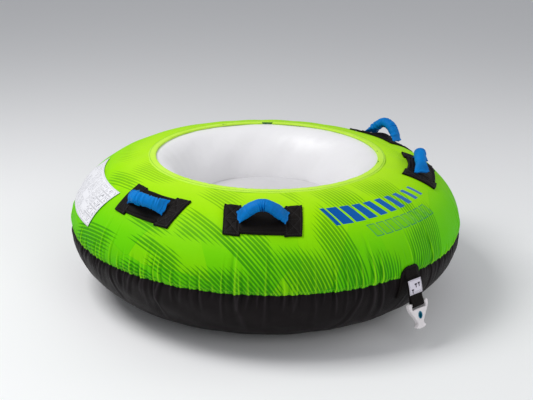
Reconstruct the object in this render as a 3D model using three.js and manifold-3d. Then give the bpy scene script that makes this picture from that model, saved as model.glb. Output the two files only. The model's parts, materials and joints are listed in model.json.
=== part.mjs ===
// One-rider towable tube for water sports, inflated and ready to tow.
// Millimetres, +Z up. +X is the tow direction, and the origin is on the ground under the tube's axis.
import * as THREE from "three";
import { mergeVertices } from "three/addons/utils/BufferGeometryUtils.js";
import Module from "manifold-3d";

const wasm = await Module();
wasm.setup();

// ---- driving dimensions -------------------------------------------------------------------------
const outerRadius = 610; // widest point, at the side seam
const crestRadius = 354; // ring where the tube is tallest
const innerRadius = 238; // narrowest ring of the cockpit wall
const seamHeight = 206; // side seam above the ground
const crestRise = 202; // crest above the side seam
const ringSegments = 40; // facets round the tube
const sectionStep = 15; // degrees between facets of the tube's section

const clothThickness = 1.5; // nylon cover
const filmThickness = 2; // PVC bladder and cockpit floor
const layerGap = 1; // between cover and bladder
const touchGap = 0.4; // between pieces that touch

const hemRadius = 344; // inner edge of the cover's opening
const hemWidth = 24;
const hemCordRadius = 2.6;
const hemNotch = { azimuth: 139, width: 20 };

const floorHeight = 249; // rim of the cockpit floor
const floorSag = 12;
const floorBand = 10; // height of the band that welds the floor to the wall

// Degrees round the tube from the tow direction, degrees up its section from the side seam, and
// how far each soft grip has flopped over towards the cockpit.
const handleSites = {
  right_front: { azimuth: -42, section: 57, lean: 13 },
  right_rear: { azimuth: -81.5, section: 55, lean: -28 },
  left_front: { azimuth: 43, section: 60, lean: 42 },
  left_rear: { azimuth: 85, section: 58, lean: 22 },
};
const handle = {
  padLength: 116,
  padWidth: 96,
  padThickness: 3,
  patchLength: 49,
  patchWidth: 109,
  patchThickness: 4.5,
  lift: 1.2, // above the cover
  pivotHeight: 14,
  halfSpan: 56,
  archControl: 54, // control points' height, so the arch rises three quarters of it
  archShoulder: 40,
  strapWidth: 20,
  strapThickness: 3,
  rootHeight: 21,
  coreRadius: 13.2,
  sleeveRadius: 15.2,
  gripTrim: 0.09, // share of the strap left bare at each end
};

const tow = {
  patchWidth: 74,
  patchTop: 29, // walked along the cover from the side seam
  patchBottom: -66,
  patchThickness: 2,
  strapWidth: 50,
  strapThickness: 3.2,
  strapTop: 21,
  strapBottom: -1,
  pivotRadius: 621, // where the stiff webbing turns out from the tube
  pivotHeight: 204,
  lean: 16, // degrees out from hanging straight down
  loopDrop: 76, // pivot to bar
  labelWidth: 51,
  labelTop: -5,
  labelBottom: -46,
  barRadius: 4.6,
};
const connector = {
  thickness: 16,
  armTop: 10, // above the bar
  armOuter: 39,
  armInner: 28,
  crotch: -12,
  neckHeight: -50,
  neckHalf: 12,
  footHeight: -69,
  footHalf: 18,
  eyeHeight: -31,
  eyeHalfWidth: 7.5,
  eyeHalfHeight: 10.5,
  linerWall: 1.6,
};

const valve = { azimuth: -41, section: 145, flangeRadius: 28, neckRadius: 14.4, boreRadius: 11, capRadius: 18.4 };
const zip = { section: -35, halfAngle: 33, centre: 180, tapeWidth: 34, chainWidth: 6, chainThickness: 2.6 };
const careLabel = { azimuth: -117.6, section: 37.5, length: 350, width: 136, thickness: 0.8 };

// ---- materials ----------------------------------------------------------------------------------
const finish = (color, roughness, metalness = 0) => new THREE.MeshStandardMaterial({ color, roughness, metalness });
const material = {
  greenNylon: finish(0x86e000, 0.55),
  limeHem: finish(0xb9f53a, 0.6),
  blackNylon: finish(0x1d1a1c, 0.7),
  whiteVinyl: finish(0xe6e5e8, 0.35),
  webbing: finish(0x151314, 0.8),
  neoprene: finish(0x1b191b, 0.75),
  foam: finish(0x3a3a3c, 0.9),
  blueNylon: finish(0x0c7fd4, 0.5),
  whiteNylonPlastic: finish(0xe8e0e2, 0.4),
  tealPlastic: finish(0x0f7c99, 0.45),
  labelFilm: finish(0xe9e9ee, 0.45),
  blackPlastic: finish(0x161617, 0.5),
  valveWhite: finish(0xdfe2e6, 0.4),
  silicone: finish(0xcfd4d8, 0.5),
  cord: finish(0x2f6b2a, 0.8),
};

const part = new THREE.Group();
const rad = THREE.MathUtils.degToRad;

function add(parent, name, geometry, look) {
  const mesh = new THREE.Mesh(geometry, look);
  mesh.name = name;
  parent.add(mesh);
  return mesh;
}

// ---- solids -------------------------------------------------------------------------------------
function toSolid(geometry) {
  const bare = new THREE.BufferGeometry().setAttribute("position", geometry.toNonIndexed().attributes.position);
  const merged = mergeVertices(bare, 1e-3);
  return new wasm.Manifold(
    new wasm.Mesh({
      numProp: 3,
      vertProperties: merged.attributes.position.array,
      triVerts: new Uint32Array(merged.index.array),
    }),
  );
}

function toGeometry(solid) {
  const mesh = solid.getMesh();
  return new THREE.BufferGeometry()
    .setAttribute("position", new THREE.BufferAttribute(new Float32Array(mesh.vertProperties), 3))
    .setIndex(new THREE.BufferAttribute(new Uint32Array(mesh.triVerts), 1));
}

const indexed = (geometry) => (geometry.index ? geometry : mergeVertices(geometry));
const cut = (geometry, ...tools) =>
  toGeometry(tools.reduce((solid, tool) => solid.subtract(toSolid(indexed(tool))), toSolid(indexed(geometry))));
const join = (geometry, ...others) =>
  toGeometry(others.reduce((solid, other) => solid.add(toSolid(indexed(other))), toSolid(indexed(geometry))));

// A solid of revolution about Z from [radius, height] points, in either order.
function turned(profile, segments = ringSegments) {
  const points = profile.map(([radius, height]) => new THREE.Vector2(radius, height));
  if (points[0].x > 0) points.push(points[0].clone());
  if (THREE.ShapeUtils.area(points) > 0) points.reverse();
  return new THREE.LatheGeometry(points.reverse(), segments).rotateX(Math.PI / 2);
}

// ---- the tube's section -------------------------------------------------------------------------
// Point at angle t of the inflated section, moved out along its normal, as [radius, height].
// 0 is the side seam, 90 the crest, 180 the narrowest ring of the cockpit and -90 the ring on the ground.
function section(t, out = 0) {
  const c = Math.cos(rad(t));
  const s = Math.sin(rad(t));
  const a = c > 0 ? outerRadius - crestRadius : crestRadius - innerRadius;
  const b = s > 0 ? crestRise : seamHeight;
  const normal = new THREE.Vector2(c / a, s / b).normalize();
  return [crestRadius + a * c + out * normal.x, seamHeight + b * s + out * normal.y];
}

// The same, on the flat between the section's own corners, which every layer shares.
function facet(t, out = 0) {
  const low = Math.floor(t / sectionStep) * sectionStep;
  const share = (t - low) / sectionStep;
  const next = section(low + sectionStep, out);
  return section(low, out).map((value, i) => value + (next[i] - value) * share);
}

// Both angles and every corner of the section between them.
function steps(from, to) {
  const way = Math.sign(to - from);
  const angles = [from];
  let corner = way * (Math.floor((way * from) / sectionStep) + 1) * sectionStep;
  while (way * (to - corner) > 0) {
    angles.push(corner);
    corner += way * sectionStep;
  }
  return [...angles, to];
}

// Profile of a skin that follows the section between two angles.
function skin(from, to, out, thickness) {
  const angles = steps(from, to);
  return [...angles.map((t) => facet(t, out)), ...angles.reverse().map((t) => facet(t, out - thickness))];
}

// Point on the cover, out from it along its normal.
function onCover(azimuth, t, out = 0) {
  const [radius, height] = section(t, out);
  return new THREE.Vector3(radius * Math.cos(azimuth), radius * Math.sin(azimuth), height);
}

// Section angle reached by walking up the section from t.
function walk(t, distance) {
  const count = 24;
  for (let i = 0; i < count; i++) {
    const [r0, z0] = section(t - 0.5);
    const [r1, z1] = section(t + 0.5);
    t += distance / count / Math.hypot(r1 - r0, z1 - z0);
  }
  return t;
}

// Bends a flat piece onto the cover: x runs round the tube, y up the section and z outwards.
function wrapped(geometry, azimuth, t, lift) {
  const position = geometry.attributes.position;
  for (let i = 0; i < position.count; i++) {
    const angle = walk(t, position.getY(i));
    const [radius] = section(angle);
    const point = onCover(rad(azimuth) + position.getX(i) / radius, angle, lift + position.getZ(i));
    position.setXYZ(i, point.x, point.y, point.z);
  }
  return geometry;
}

const plate = (width, length, thickness, nx, ny) =>
  new THREE.BoxGeometry(width, length, thickness, nx, ny, 1).translate(0, 0, thickness / 2);

// A group standing on the cover: x round the tube, y up the section, z outwards.
function standOnCover(azimuth, t) {
  const group = new THREE.Group();
  const base = onCover(rad(azimuth), t);
  const out = onCover(rad(azimuth), t, 1).sub(base);
  const round = new THREE.Vector3(-Math.sin(rad(azimuth)), Math.cos(rad(azimuth)), 0);
  const up = out.clone().cross(round);
  group.matrixAutoUpdate = false;
  group.matrix.makeBasis(round, up, out).setPosition(base);
  group.updateMatrixWorld(true);
  part.add(group);
  return group;
}

// ---- bladder and cockpit floor ------------------------------------------------------------------
function makeBladder() {
  const out = -clothThickness - layerGap;
  const upper = turned(skin(touchGap * 0.1, 180, out, filmThickness));
  const lower = turned(skin(-touchGap * 0.1, -180, out, filmThickness));
  const site = standOnCover(valve.azimuth, valve.section);
  const hole = new THREE.CylinderGeometry(15, 15, 30, 24).rotateX(Math.PI / 2).applyMatrix4(site.matrix);
  add(part, "bladder_upper_half", cut(upper, hole), material.whiteVinyl);
  add(part, "bladder_lower_half", lower, material.whiteVinyl);

  const wallAngle = (height) => 180 - THREE.MathUtils.radToDeg(Math.asin((height - seamHeight) / crestRise));
  const rim = facet(wallAngle(floorHeight), out + touchGap)[0];
  add(
    part,
    "cockpit_floor",
    turned([
      [0, floorHeight - floorSag],
      [rim * 0.55, floorHeight - floorSag * 0.72],
      [rim - 1, floorHeight],
      [rim - 1, floorHeight - filmThickness],
      [rim * 0.55, floorHeight - floorSag * 0.72 - filmThickness],
      [0, floorHeight - floorSag - filmThickness],
    ]),
    material.whiteVinyl,
  );
  const bandLow = wallAngle(floorHeight + touchGap);
  const bandHigh = wallAngle(floorHeight + touchGap + floorBand);
  add(
    part,
    "floor_weld_band",
    turned([
      facet(bandLow, out + touchGap),
      facet(bandHigh, out + touchGap),
      facet(bandHigh, out + touchGap + 1.2),
      facet(bandLow, out + touchGap + 3),
    ]),
    material.whiteVinyl,
  );
}

// ---- cover --------------------------------------------------------------------------------------
function makeCover() {
  const hemOuter = hemRadius + hemWidth;
  const hemAngle = THREE.MathUtils.radToDeg(Math.acos((hemOuter - crestRadius) / (outerRadius - crestRadius)));
  add(part, "cover_upper_panel", turned(skin(touchGap * 0.1, hemAngle - 0.2, 0, clothThickness)), material.greenNylon);

  const zipRadius = section(zip.section)[0];
  const slitLength = 2 * rad(zip.halfAngle) * zipRadius - 12;
  const slit = wrapped(plate(slitLength, 8, 20, 30, 1).translate(0, 0, -10), zip.centre, zip.section, 0);
  const underside = [
    ...steps(-touchGap * 0.1, -90).map((t) => facet(t)),
    [0, 0],
    [0, clothThickness],
    ...steps(-90, -touchGap * 0.1).map((t) => facet(t, -clothThickness)),
  ];
  add(part, "cover_lower_panel", cut(turned(underside), slit), material.blackNylon);

  // The hem is a folded channel, open between its lips where they meet the upper panel.
  const lip = 1.1;
  const crest = seamHeight + crestRise - clothThickness - layerGap + touchGap;
  const high = crest + 2 * lip + 2 * hemCordRadius + 1;
  const outer = hemRadius + hemWidth;
  const mouth = outer - 2;
  const hem = turned([
    [mouth, crest],
    [hemRadius + 2.4, crest],
    [hemRadius, crest + 2.4],
    [hemRadius, high - 2.4],
    [hemRadius + 2.4, high],
    [hemRadius + 10, high],
    [mouth, crest + 2 * lip + 0.6],
    [mouth, crest + lip + 0.6],
    [hemRadius + 9.4, high - lip],
    [hemRadius + lip, high - lip - 0.8],
    [hemRadius + lip, crest + lip + 0.8],
    [mouth, crest + lip],
  ]);
  const notch = new THREE.BoxGeometry(30, hemNotch.width, 30)
    .translate(hemRadius, 0, crest)
    .rotateZ(rad(hemNotch.azimuth));
  add(part, "hem_channel", cut(hem, notch), material.limeHem);
  const cordHeight = (crest + high) / 2;
  const cordCentre = hemRadius + lip + hemCordRadius + 0.8;
  const cordSection = Array.from({ length: 6 }, (_, i) => [
    cordCentre + hemCordRadius * Math.cos((i * Math.PI) / 3),
    cordHeight + hemCordRadius * Math.sin((i * Math.PI) / 3),
  ]);
  add(part, "hem_drawcord", turned(cordSection), material.cord);
}

// ---- handles ------------------------------------------------------------------------------------
function sweep(shape, path, count) {
  return new THREE.ExtrudeGeometry(shape, { steps: count, extrudePath: path, bevelEnabled: false });
}

function trimmed(path, from, to) {
  const count = 8;
  const points = Array.from({ length: count + 1 }, (_, i) => path.getPointAt(from + ((to - from) * i) / count));
  return new THREE.CatmullRomCurve3(points);
}

function disc(radius, sides) {
  return new THREE.Shape(
    Array.from({ length: sides }, (_, i) => {
      const angle = (2 * Math.PI * i) / sides;
      return new THREE.Vector2(radius * Math.cos(angle), radius * Math.sin(angle));
    }),
  );
}

function rectangle(width, height) {
  return new THREE.Shape([
    new THREE.Vector2(-width / 2, -height / 2),
    new THREE.Vector2(width / 2, -height / 2),
    new THREE.Vector2(width / 2, height / 2),
    new THREE.Vector2(-width / 2, height / 2),
  ]);
}

function makeHandle(name, { azimuth, section, lean }) {
  const h = handle;
  const wrap = (geometry) => wrapped(geometry, azimuth, section, h.lift);
  const patchCentre = h.padLength / 2 + touchGap + h.patchLength / 2;
  const site = standOnCover(azimuth, section);
  add(part, `${name}_handle_knuckle_pad`, wrap(plate(h.padLength, h.padWidth, h.padThickness, 6, 5)), material.neoprene);
  for (const [end, side] of [["a", -1], ["b", 1]]) {
    const patch = plate(h.patchLength, h.patchWidth, h.patchThickness, 2, 5).translate(side * patchCentre, 0, 0);
    // The strap's sewn end stands up from the patch, beside the end that swings.
    const root = new THREE.BoxGeometry(h.strapThickness, h.strapWidth, h.rootHeight);
    root.translate(side * (patchCentre - h.patchLength / 2 + h.strapThickness / 2), 0, h.rootHeight / 2 + h.lift);
    const sewn = join(wrap(patch), root.applyMatrix4(site.matrix));
    add(part, `${name}_handle_patch_${end}`, sewn, material.webbing);
  }

  const pivot = new THREE.Group();
  pivot.position.z = h.pivotHeight;
  pivot.rotation.x = -rad(lean);
  site.add(pivot);
  const arch = new THREE.CubicBezierCurve3(
    new THREE.Vector3(-h.halfSpan, 0, 0),
    new THREE.Vector3(-h.archShoulder, 0, h.archControl),
    new THREE.Vector3(h.archShoulder, 0, h.archControl),
    new THREE.Vector3(h.halfSpan, 0, 0),
  );
  const grip = trimmed(arch, h.gripTrim, 1 - h.gripTrim);
  add(pivot, `${name}_handle_strap`, sweep(rectangle(h.strapWidth, h.strapThickness), arch, 10), material.webbing);
  const core = disc(h.coreRadius, 10);
  core.holes.push(rectangle(h.strapWidth + 2 * touchGap, h.strapThickness + 2 * touchGap));
  add(pivot, `${name}_handle_foam_core`, sweep(core, grip, 8), material.foam);
  const sleeve = disc(h.sleeveRadius, 10);
  sleeve.holes.push(disc(h.coreRadius + touchGap, 10));
  add(pivot, `${name}_handle_sleeve`, sweep(sleeve, grip, 8), material.blueNylon);
}

// ---- tow point ----------------------------------------------------------------------------------
// A flat plate between two heights walked along the cover, with its top corners rounded off.
function tongue(width, top, bottom, thickness) {
  const shape = plate(width, top - bottom, thickness, 4, 8);
  const position = shape.attributes.position;
  const middle = (top + bottom) / 2;
  for (let i = 0; i < position.count; i++) {
    const y = position.getY(i);
    const rise = Math.max(0, (y + middle) / top);
    position.setX(i, position.getX(i) * Math.sqrt(1 - 0.72 * rise ** 2));
    position.setY(i, y + middle);
  }
  return shape;
}

function makeTowPoint() {
  const patchLift = 1.2;
  const strapLift = patchLift + tow.patchThickness + touchGap + 0.3;
  const strapMiddle = (tow.strapTop + tow.strapBottom) / 2;
  const patch = tongue(tow.patchWidth, tow.patchTop, tow.patchBottom, tow.patchThickness);
  add(part, "tow_patch", wrapped(patch, 0, 0, patchLift), material.webbing);
  const strap = plate(tow.strapWidth, tow.strapTop - tow.strapBottom, tow.strapThickness, 2, 3);
  add(part, "tow_strap", wrapped(strap.translate(0, strapMiddle, 0), 0, 0, strapLift), material.webbing);

  // The doubled loop leans out from the strap's lower end and carries the label and the connector's bar.
  const hang = new THREE.Group();
  hang.position.set(tow.pivotRadius, 0, tow.pivotHeight);
  hang.rotation.y = -rad(tow.lean);
  part.add(hang);
  const inner = tow.barRadius + touchGap;
  const outer = inner + tow.strapThickness;
  const loop = new THREE.Shape();
  loop.moveTo(-outer, -tow.loopDrop);
  loop.absarc(0, -tow.loopDrop, outer, Math.PI, 2 * Math.PI, false);
  loop.lineTo(tow.strapThickness, -tow.loopDrop + 3 * outer);
  loop.lineTo(tow.strapThickness, -4);
  loop.lineTo(-tow.strapThickness, -4);
  loop.lineTo(-tow.strapThickness, -tow.loopDrop + 3 * outer);
  const gap = new THREE.Path();
  gap.moveTo(-inner, -tow.loopDrop);
  gap.absarc(0, -tow.loopDrop, inner, Math.PI, 2 * Math.PI, false);
  gap.lineTo(0.3, -tow.loopDrop + 3 * inner);
  gap.lineTo(-0.3, -tow.loopDrop + 3 * inner);
  loop.holes.push(gap);
  const loopSolid = new THREE.ExtrudeGeometry(loop, { depth: tow.strapWidth, bevelEnabled: false, curveSegments: 8 });
  const standing = loopSolid.rotateX(Math.PI / 2).translate(0, tow.strapWidth / 2, 0);
  add(hang, "tow_loop", standing, material.webbing);
  const labelThickness = 0.8;
  const label = new THREE.BoxGeometry(labelThickness, tow.labelWidth, tow.labelTop - tow.labelBottom);
  label.translate(tow.strapThickness + touchGap + labelThickness / 2, 0, (tow.labelTop + tow.labelBottom) / 2);
  add(hang, "tow_label", label, material.labelFilm);

  const swing = new THREE.Group();
  swing.position.z = -tow.loopDrop;
  hang.add(swing);
  makeConnector(swing);
}

// The moulded quick connector, in the plane across the tow direction, with its bar at the origin.
function makeConnector(parent) {
  const k = connector;
  const half = [
    [k.armInner, k.crotch],
    [k.armInner, k.armTop - 3],
    [k.armInner + 3, k.armTop],
    [k.armOuter - 2, k.armTop],
    [k.armOuter, k.armTop - 4],
    [k.armOuter - 2, k.crotch],
    [k.neckHalf + 9, k.neckHeight + 20],
    [k.neckHalf, k.neckHeight],
    [k.neckHalf + 1, k.neckHeight - 6],
    [k.footHalf, k.footHeight + 9],
    [k.footHalf, k.footHeight + 4],
    [k.footHalf * 0.6, k.footHeight],
  ];
  const mirrored = half.map(([y, z]) => [-y, z]).reverse();
  const outline = new THREE.Shape([...mirrored, ...half].map(([y, z]) => new THREE.Vector2(y, z)));
  const eye = (grow) => {
    const path = new THREE.Path();
    path.absellipse(0, k.eyeHeight, k.eyeHalfWidth + grow, k.eyeHalfHeight + grow, 0, 2 * Math.PI);
    return path;
  };
  outline.holes.push(eye(0));
  // Extruded shapes lie in XY, so they are turned to stand in YZ.
  const stand = (geometry, depth) => geometry.translate(0, 0, -depth / 2).applyMatrix4(
    new THREE.Matrix4().makeBasis(new THREE.Vector3(0, 1, 0), new THREE.Vector3(0, 0, 1), new THREE.Vector3(1, 0, 0)),
  );
  const body = stand(
    new THREE.ExtrudeGeometry(outline, { depth: k.thickness, bevelEnabled: false, curveSegments: 8 }),
    k.thickness,
  );
  const bar = new THREE.CylinderGeometry(tow.barRadius, tow.barRadius, 2 * k.armInner + 4, 16);
  add(parent, "quick_connector", join(body, bar), material.whiteNylonPlastic);
  const linerShape = new THREE.Shape();
  linerShape.absellipse(0, k.eyeHeight, k.eyeHalfWidth - touchGap, k.eyeHalfHeight - touchGap, 0, 2 * Math.PI);
  linerShape.holes.push(eye(-touchGap - k.linerWall));
  const linerDepth = k.thickness - 2;
  const liner = new THREE.ExtrudeGeometry(linerShape, { depth: linerDepth, bevelEnabled: false, curveSegments: 8 });
  add(parent, "connector_eye_liner", stand(liner, linerDepth), material.tealPlastic);
}

// ---- inflation valve ----------------------------------------------------------------------------
function makeValve() {
  const v = valve;
  const site = standOnCover(v.azimuth, v.section);
  const wallOut = -clothThickness - layerGap + touchGap;
  const wall = turned(steps(0, 345).map((t) => section(t, wallOut))).applyMatrix4(site.matrix.clone().invert());
  const flange = turned([[v.neckRadius - 1, -8], [v.flangeRadius, -8], [v.flangeRadius, 0], [v.neckRadius - 1, 2]], 24);
  const neck = turned([[v.boreRadius, -16], [v.neckRadius, -16], [v.neckRadius, 8], [v.boreRadius, 8]], 24);
  add(site, "valve_base", join(cut(flange, wall), neck), material.valveWhite);

  const spokes = [0, 90].map((angle) => new THREE.BoxGeometry(19, 2.4, 3).rotateZ(rad(angle)).translate(0, 0, -10));
  const seat = turned([[8.6, -12], [v.boreRadius - touchGap, -12], [v.boreRadius - touchGap, -8], [8.6, -8]], 20);
  const hub = new THREE.CylinderGeometry(4, 4, 3, 16).rotateX(Math.PI / 2).translate(0, 0, -10);
  const pinHole = new THREE.CylinderGeometry(2.1, 2.1, 8, 12).rotateX(Math.PI / 2).translate(0, 0, -10);
  add(site, "valve_seat", cut(join(seat, hub, ...spokes), pinHole), material.blackPlastic);
  const flap = [[0, -14], [9.6, -14], [9.6, -13], [1.7, -12.6], [1.7, -8], [2.9, -7.6], [2.2, -5], [0, -4]];
  add(site, "valve_flap", turned(flap, 16), material.silicone);

  const collar = turned([[v.neckRadius + touchGap, 2.9], [v.capRadius, 2.9], [v.capRadius, 5], [v.neckRadius + touchGap, 5]], 24);
  const tab = new THREE.BoxGeometry(9, 8, 1.6).translate(v.capRadius + 3, 0, 4);
  add(site, "valve_leash_ring", join(collar, tab), material.valveWhite);
  const cap = turned(
    [
      [0, 9],
      [v.neckRadius + touchGap, 9],
      [v.neckRadius + touchGap, 5.4],
      [v.capRadius, 5.4],
      [v.capRadius, 12],
      [v.capRadius - 2, 13.4],
      [0, 13.4],
    ],
    24,
  );
  add(site, "valve_cap", cap, material.valveWhite);
}

// ---- zip ----------------------------------------------------------------------------------------
function makeZip() {
  const length = 2 * rad(zip.halfAngle) * section(zip.section)[0];
  const tapeLift = 1.2;
  const chainLift = tapeLift + 1.2 + touchGap;
  const wrap = (geometry, lift) => wrapped(geometry, zip.centre, zip.section, lift);
  add(part, "zip_tape", wrap(plate(length + 30, zip.tapeWidth, 1.2, 26, 2), tapeLift), material.blackNylon);
  const chain = plate(length, zip.chainWidth, zip.chainThickness, 26, 1);
  add(part, "zip_chain", wrap(chain, chainLift), material.blackPlastic);
  for (const [end, side] of [["start", -1], ["end", 1]]) {
    const stop = plate(4, 9, 3.4, 1, 1).translate(side * (length / 2 + 3.4), 0, 0);
    add(part, `zip_stop_${end}`, wrap(stop, chainLift), material.blackPlastic);
  }

  const slider = standOnCover(zip.centre - zip.halfAngle + 2, zip.section);
  const top = chainLift + zip.chainThickness + touchGap;
  const shell = new THREE.BoxGeometry(20, 13, top + 2.2 - chainLift).translate(0, 0, (top + 2.2 + chainLift) / 2);
  const channel = new THREE.BoxGeometry(24, zip.chainWidth + 1.4, top - chainLift + 4).translate(0, 0, (top + chainLift) / 2 - 2);
  const bridge = new THREE.BoxGeometry(12, 3, 5).translate(0, 0, top + 4.6);
  const window = new THREE.BoxGeometry(8, 6, 3).translate(0, 0, top + 3.8);
  add(slider, "zip_slider", cut(join(cut(shell, channel), bridge), window), material.blackPlastic);
  // The pull hangs straight out from the bridge, because the zip faces down.
  const pull = new THREE.Group();
  pull.position.set(-2, 0, top + 3.8);
  slider.add(pull);
  const tab = new THREE.BoxGeometry(1.6, 10, 34).translate(0, 0, 16);
  const slot = new THREE.BoxGeometry(6, 5, 8.4).translate(0, 0, 5.2);
  add(pull, "zip_pull", cut(tab, slot), material.blackPlastic);
}

function makeCareLabel() {
  const label = plate(careLabel.length, careLabel.width, careLabel.thickness, 12, 6);
  add(part, "care_label", wrapped(label, careLabel.azimuth, careLabel.section, 1), material.labelFilm);
}

makeBladder();
makeCover();
for (const [name, place] of Object.entries(handleSites)) makeHandle(name, place);
makeTowPoint();
makeValve();
makeZip();
makeCareLabel();

export default part;
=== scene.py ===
import json
import math
import bmesh
import bpy
import numpy as np
from mathutils import Matrix, Vector


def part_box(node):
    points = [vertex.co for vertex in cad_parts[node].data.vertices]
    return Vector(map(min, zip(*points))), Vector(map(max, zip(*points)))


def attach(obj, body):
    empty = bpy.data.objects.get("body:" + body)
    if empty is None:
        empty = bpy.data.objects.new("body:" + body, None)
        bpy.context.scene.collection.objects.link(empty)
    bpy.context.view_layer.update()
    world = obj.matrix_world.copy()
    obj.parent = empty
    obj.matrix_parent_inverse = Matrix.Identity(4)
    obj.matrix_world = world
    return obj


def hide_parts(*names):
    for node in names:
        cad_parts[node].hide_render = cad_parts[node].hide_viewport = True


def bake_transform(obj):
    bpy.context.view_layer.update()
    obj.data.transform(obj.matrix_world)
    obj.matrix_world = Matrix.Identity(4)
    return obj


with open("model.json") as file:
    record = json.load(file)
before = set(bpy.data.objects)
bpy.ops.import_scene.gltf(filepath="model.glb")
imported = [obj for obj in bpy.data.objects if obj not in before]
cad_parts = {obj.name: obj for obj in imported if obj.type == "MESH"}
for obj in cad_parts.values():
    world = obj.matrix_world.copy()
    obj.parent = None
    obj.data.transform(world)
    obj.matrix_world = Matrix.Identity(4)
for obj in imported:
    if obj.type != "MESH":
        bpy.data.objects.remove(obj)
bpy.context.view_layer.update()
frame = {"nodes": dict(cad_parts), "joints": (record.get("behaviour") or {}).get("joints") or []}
print("frame loaded")

rng = np.random.default_rng(11)
joints = {j["name"]: j for j in frame["joints"]}
mm = 0.001
up = np.array([0.0, 0.0, 1.0])

# ---- the tube's own surface, which every soft piece lies on
tube = {
    "outer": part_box("cover_lower_panel")[1][0],
    "crest": 0.354,  # ring where the tube is tallest
    "inner": 0.238,  # narrowest ring of the cockpit
    "seam": 0.206,
    "rise": 0.202,
    "hemEdge": 0.344,
    "hemWidth": 0.024,
    "towSide": math.radians(-41),  # side that faces the camera, from the tow direction
}


def section(t, out=0.0):
    # radius and height at t degrees up the inflated section from the side seam
    t = np.asarray(t, float)
    c, s = np.cos(np.radians(t)), np.sin(np.radians(t))
    a = np.where(c > 0, tube["outer"] - tube["crest"], tube["crest"] - tube["inner"])
    b = np.where(s > 0, tube["rise"], tube["seam"])
    n = np.hypot(c / a, s / b)
    return tube["crest"] + a * c + out * c / a / n, tube["seam"] + b * s + out * s / b / n


tTable = np.linspace(-90, 180, 2701)
rTable, zTable = section(tTable)
sTable = np.concatenate([[0], np.cumsum(np.hypot(np.diff(rTable), np.diff(zTable)))])
sTable -= np.interp(0, tTable, sTable)


def arcAt(t):
    return np.interp(t, tTable, sTable)


def angleAt(s):
    return np.interp(s, sTable, tTable)


def onTube(azimuth, s, out=0.0):
    # azimuth in radians, s walked up the cover from the side seam, out along the normal
    r, z = section(angleAt(s), out)
    return np.stack([r * np.cos(azimuth), r * np.sin(azimuth), z + 0 * azimuth], -1)


def onPatch(azimuth, s, x, y, out):
    # x runs round the tube and y up it, from a patch's middle
    r, _ = section(angleAt(s + y))
    return onTube(azimuth + x / r, s + y, out + swell(azimuth + x / r, s + y))


def swell(azimuth, s):
    # broad unevenness of the inflated tube, which whatever is sewn on follows
    return ripples(azimuth, 5, s, 9, 8) * 0.0012


def waves(x, y, seed, count=5, rough=1.0):
    # smooth seeded ripples from a few sines, between about -1 and 1
    r = np.random.default_rng(seed)
    total = 0
    for _ in range(count):
        fx, fy, phase = r.uniform(0.4, 1.6) * rough, r.uniform(-1.2, 1.2) * rough, r.uniform(0, 6.28)
        total = total + np.sin(x * fx + y * fy + phase)
    return total / count * 1.6


def ripples(azimuth, turns, s, climb, seed, rough=1.0):
    # waves that meet up all the way round
    x = np.cos(azimuth) * turns + s * climb
    y = np.sin(azimuth) * turns + s * climb
    return waves(x, y, seed, rough=rough)


def smooth(x, low, high):
    k = np.clip((x - low) / (high - low), 0, 1)
    return k * k * (3 - 2 * k)


def hump(x, middle, width):
    return np.exp(-(((x - middle) / width) ** 2))


# ---- meshes
def meshPiece(name, points, faces, material, layers=None, shade=True):
    mesh = bpy.data.meshes.new(name)
    points = np.asarray(points, float).reshape(-1, 3).tolist()
    mesh.from_pydata(points, [], [list(map(int, f)) for f in faces])
    for layer, coords in (layers or {}).items():
        flat = mesh.uv_layers.new(name=layer)
        flat.data.foreach_set("uv", np.asarray(coords, float).ravel())
    mesh.polygons.foreach_set("use_smooth", [shade] * len(mesh.polygons))
    mesh.materials.append(material)
    mesh.update()
    faceOut(mesh)
    obj = bpy.data.objects.new(name, mesh)
    bpy.context.collection.objects.link(obj)
    return obj


def faceOut(mesh):
    # a closed piece gets all its faces pointing outwards
    shape = bmesh.new()
    shape.from_mesh(mesh)
    if all(edge.is_manifold for edge in shape.edges):
        bmesh.ops.recalc_face_normals(shape, faces=shape.faces)
        shape.to_mesh(mesh)
    shape.free()


def gridFaces(nu, nv, closedU=False, closedV=False):
    columns = np.arange(nu if closedU else nu - 1)
    rows = np.arange(nv if closedV else nv - 1)
    i, j = np.meshgrid(columns, rows, indexing="ij")
    i2, j2 = (i + 1) % nu, (j + 1) % nv
    return np.stack([i * nv + j, i2 * nv + j, i2 * nv + j2, i * nv + j2], -1).reshape(-1, 4)


def gridLayer(values):
    # corner coordinates for gridFaces; closed grids give one more column than they have points
    a, b = values[:-1, :-1], values[1:, :-1]
    c, d = values[1:, 1:], values[:-1, 1:]
    return np.stack([a, b, c, d], 2).reshape(-1, 2)


def slab(name, xs, ys, place, top, bottom, material, outline=None):
    # a closed cloth piece: a grid over xs and ys, with top and bottom heights, placed by place(x, y, h)
    x, y = np.meshgrid(xs, ys, indexing="ij")
    if outline:
        x, y = outline(x, y)
    nu, nv = x.shape
    low = place(x, y, bottom(x, y)).reshape(-1, 3)
    high = place(x, y, top(x, y)).reshape(-1, 3)
    faces = gridFaces(nu, nv)
    ring = [(i, 0) for i in range(nu)] + [(nu - 1, j) for j in range(1, nv)]
    ring += [(i, nv - 1) for i in range(nu - 2, -1, -1)] + [(0, j) for j in range(nv - 2, 0, -1)]
    ring = np.array([i * nv + j for i, j in ring])
    after = np.roll(ring, -1)
    count = nu * nv
    sides = np.stack([ring, after, after + count, ring + count], -1)
    everything = np.concatenate([faces + count, faces[:, ::-1], sides])
    flat = np.stack([x, y], -1).reshape(-1, 2)
    layer = flat[everything % count].reshape(-1, 2)
    return meshPiece(name, np.concatenate([low, high]), everything, material, {"cloth": layer})


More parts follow.
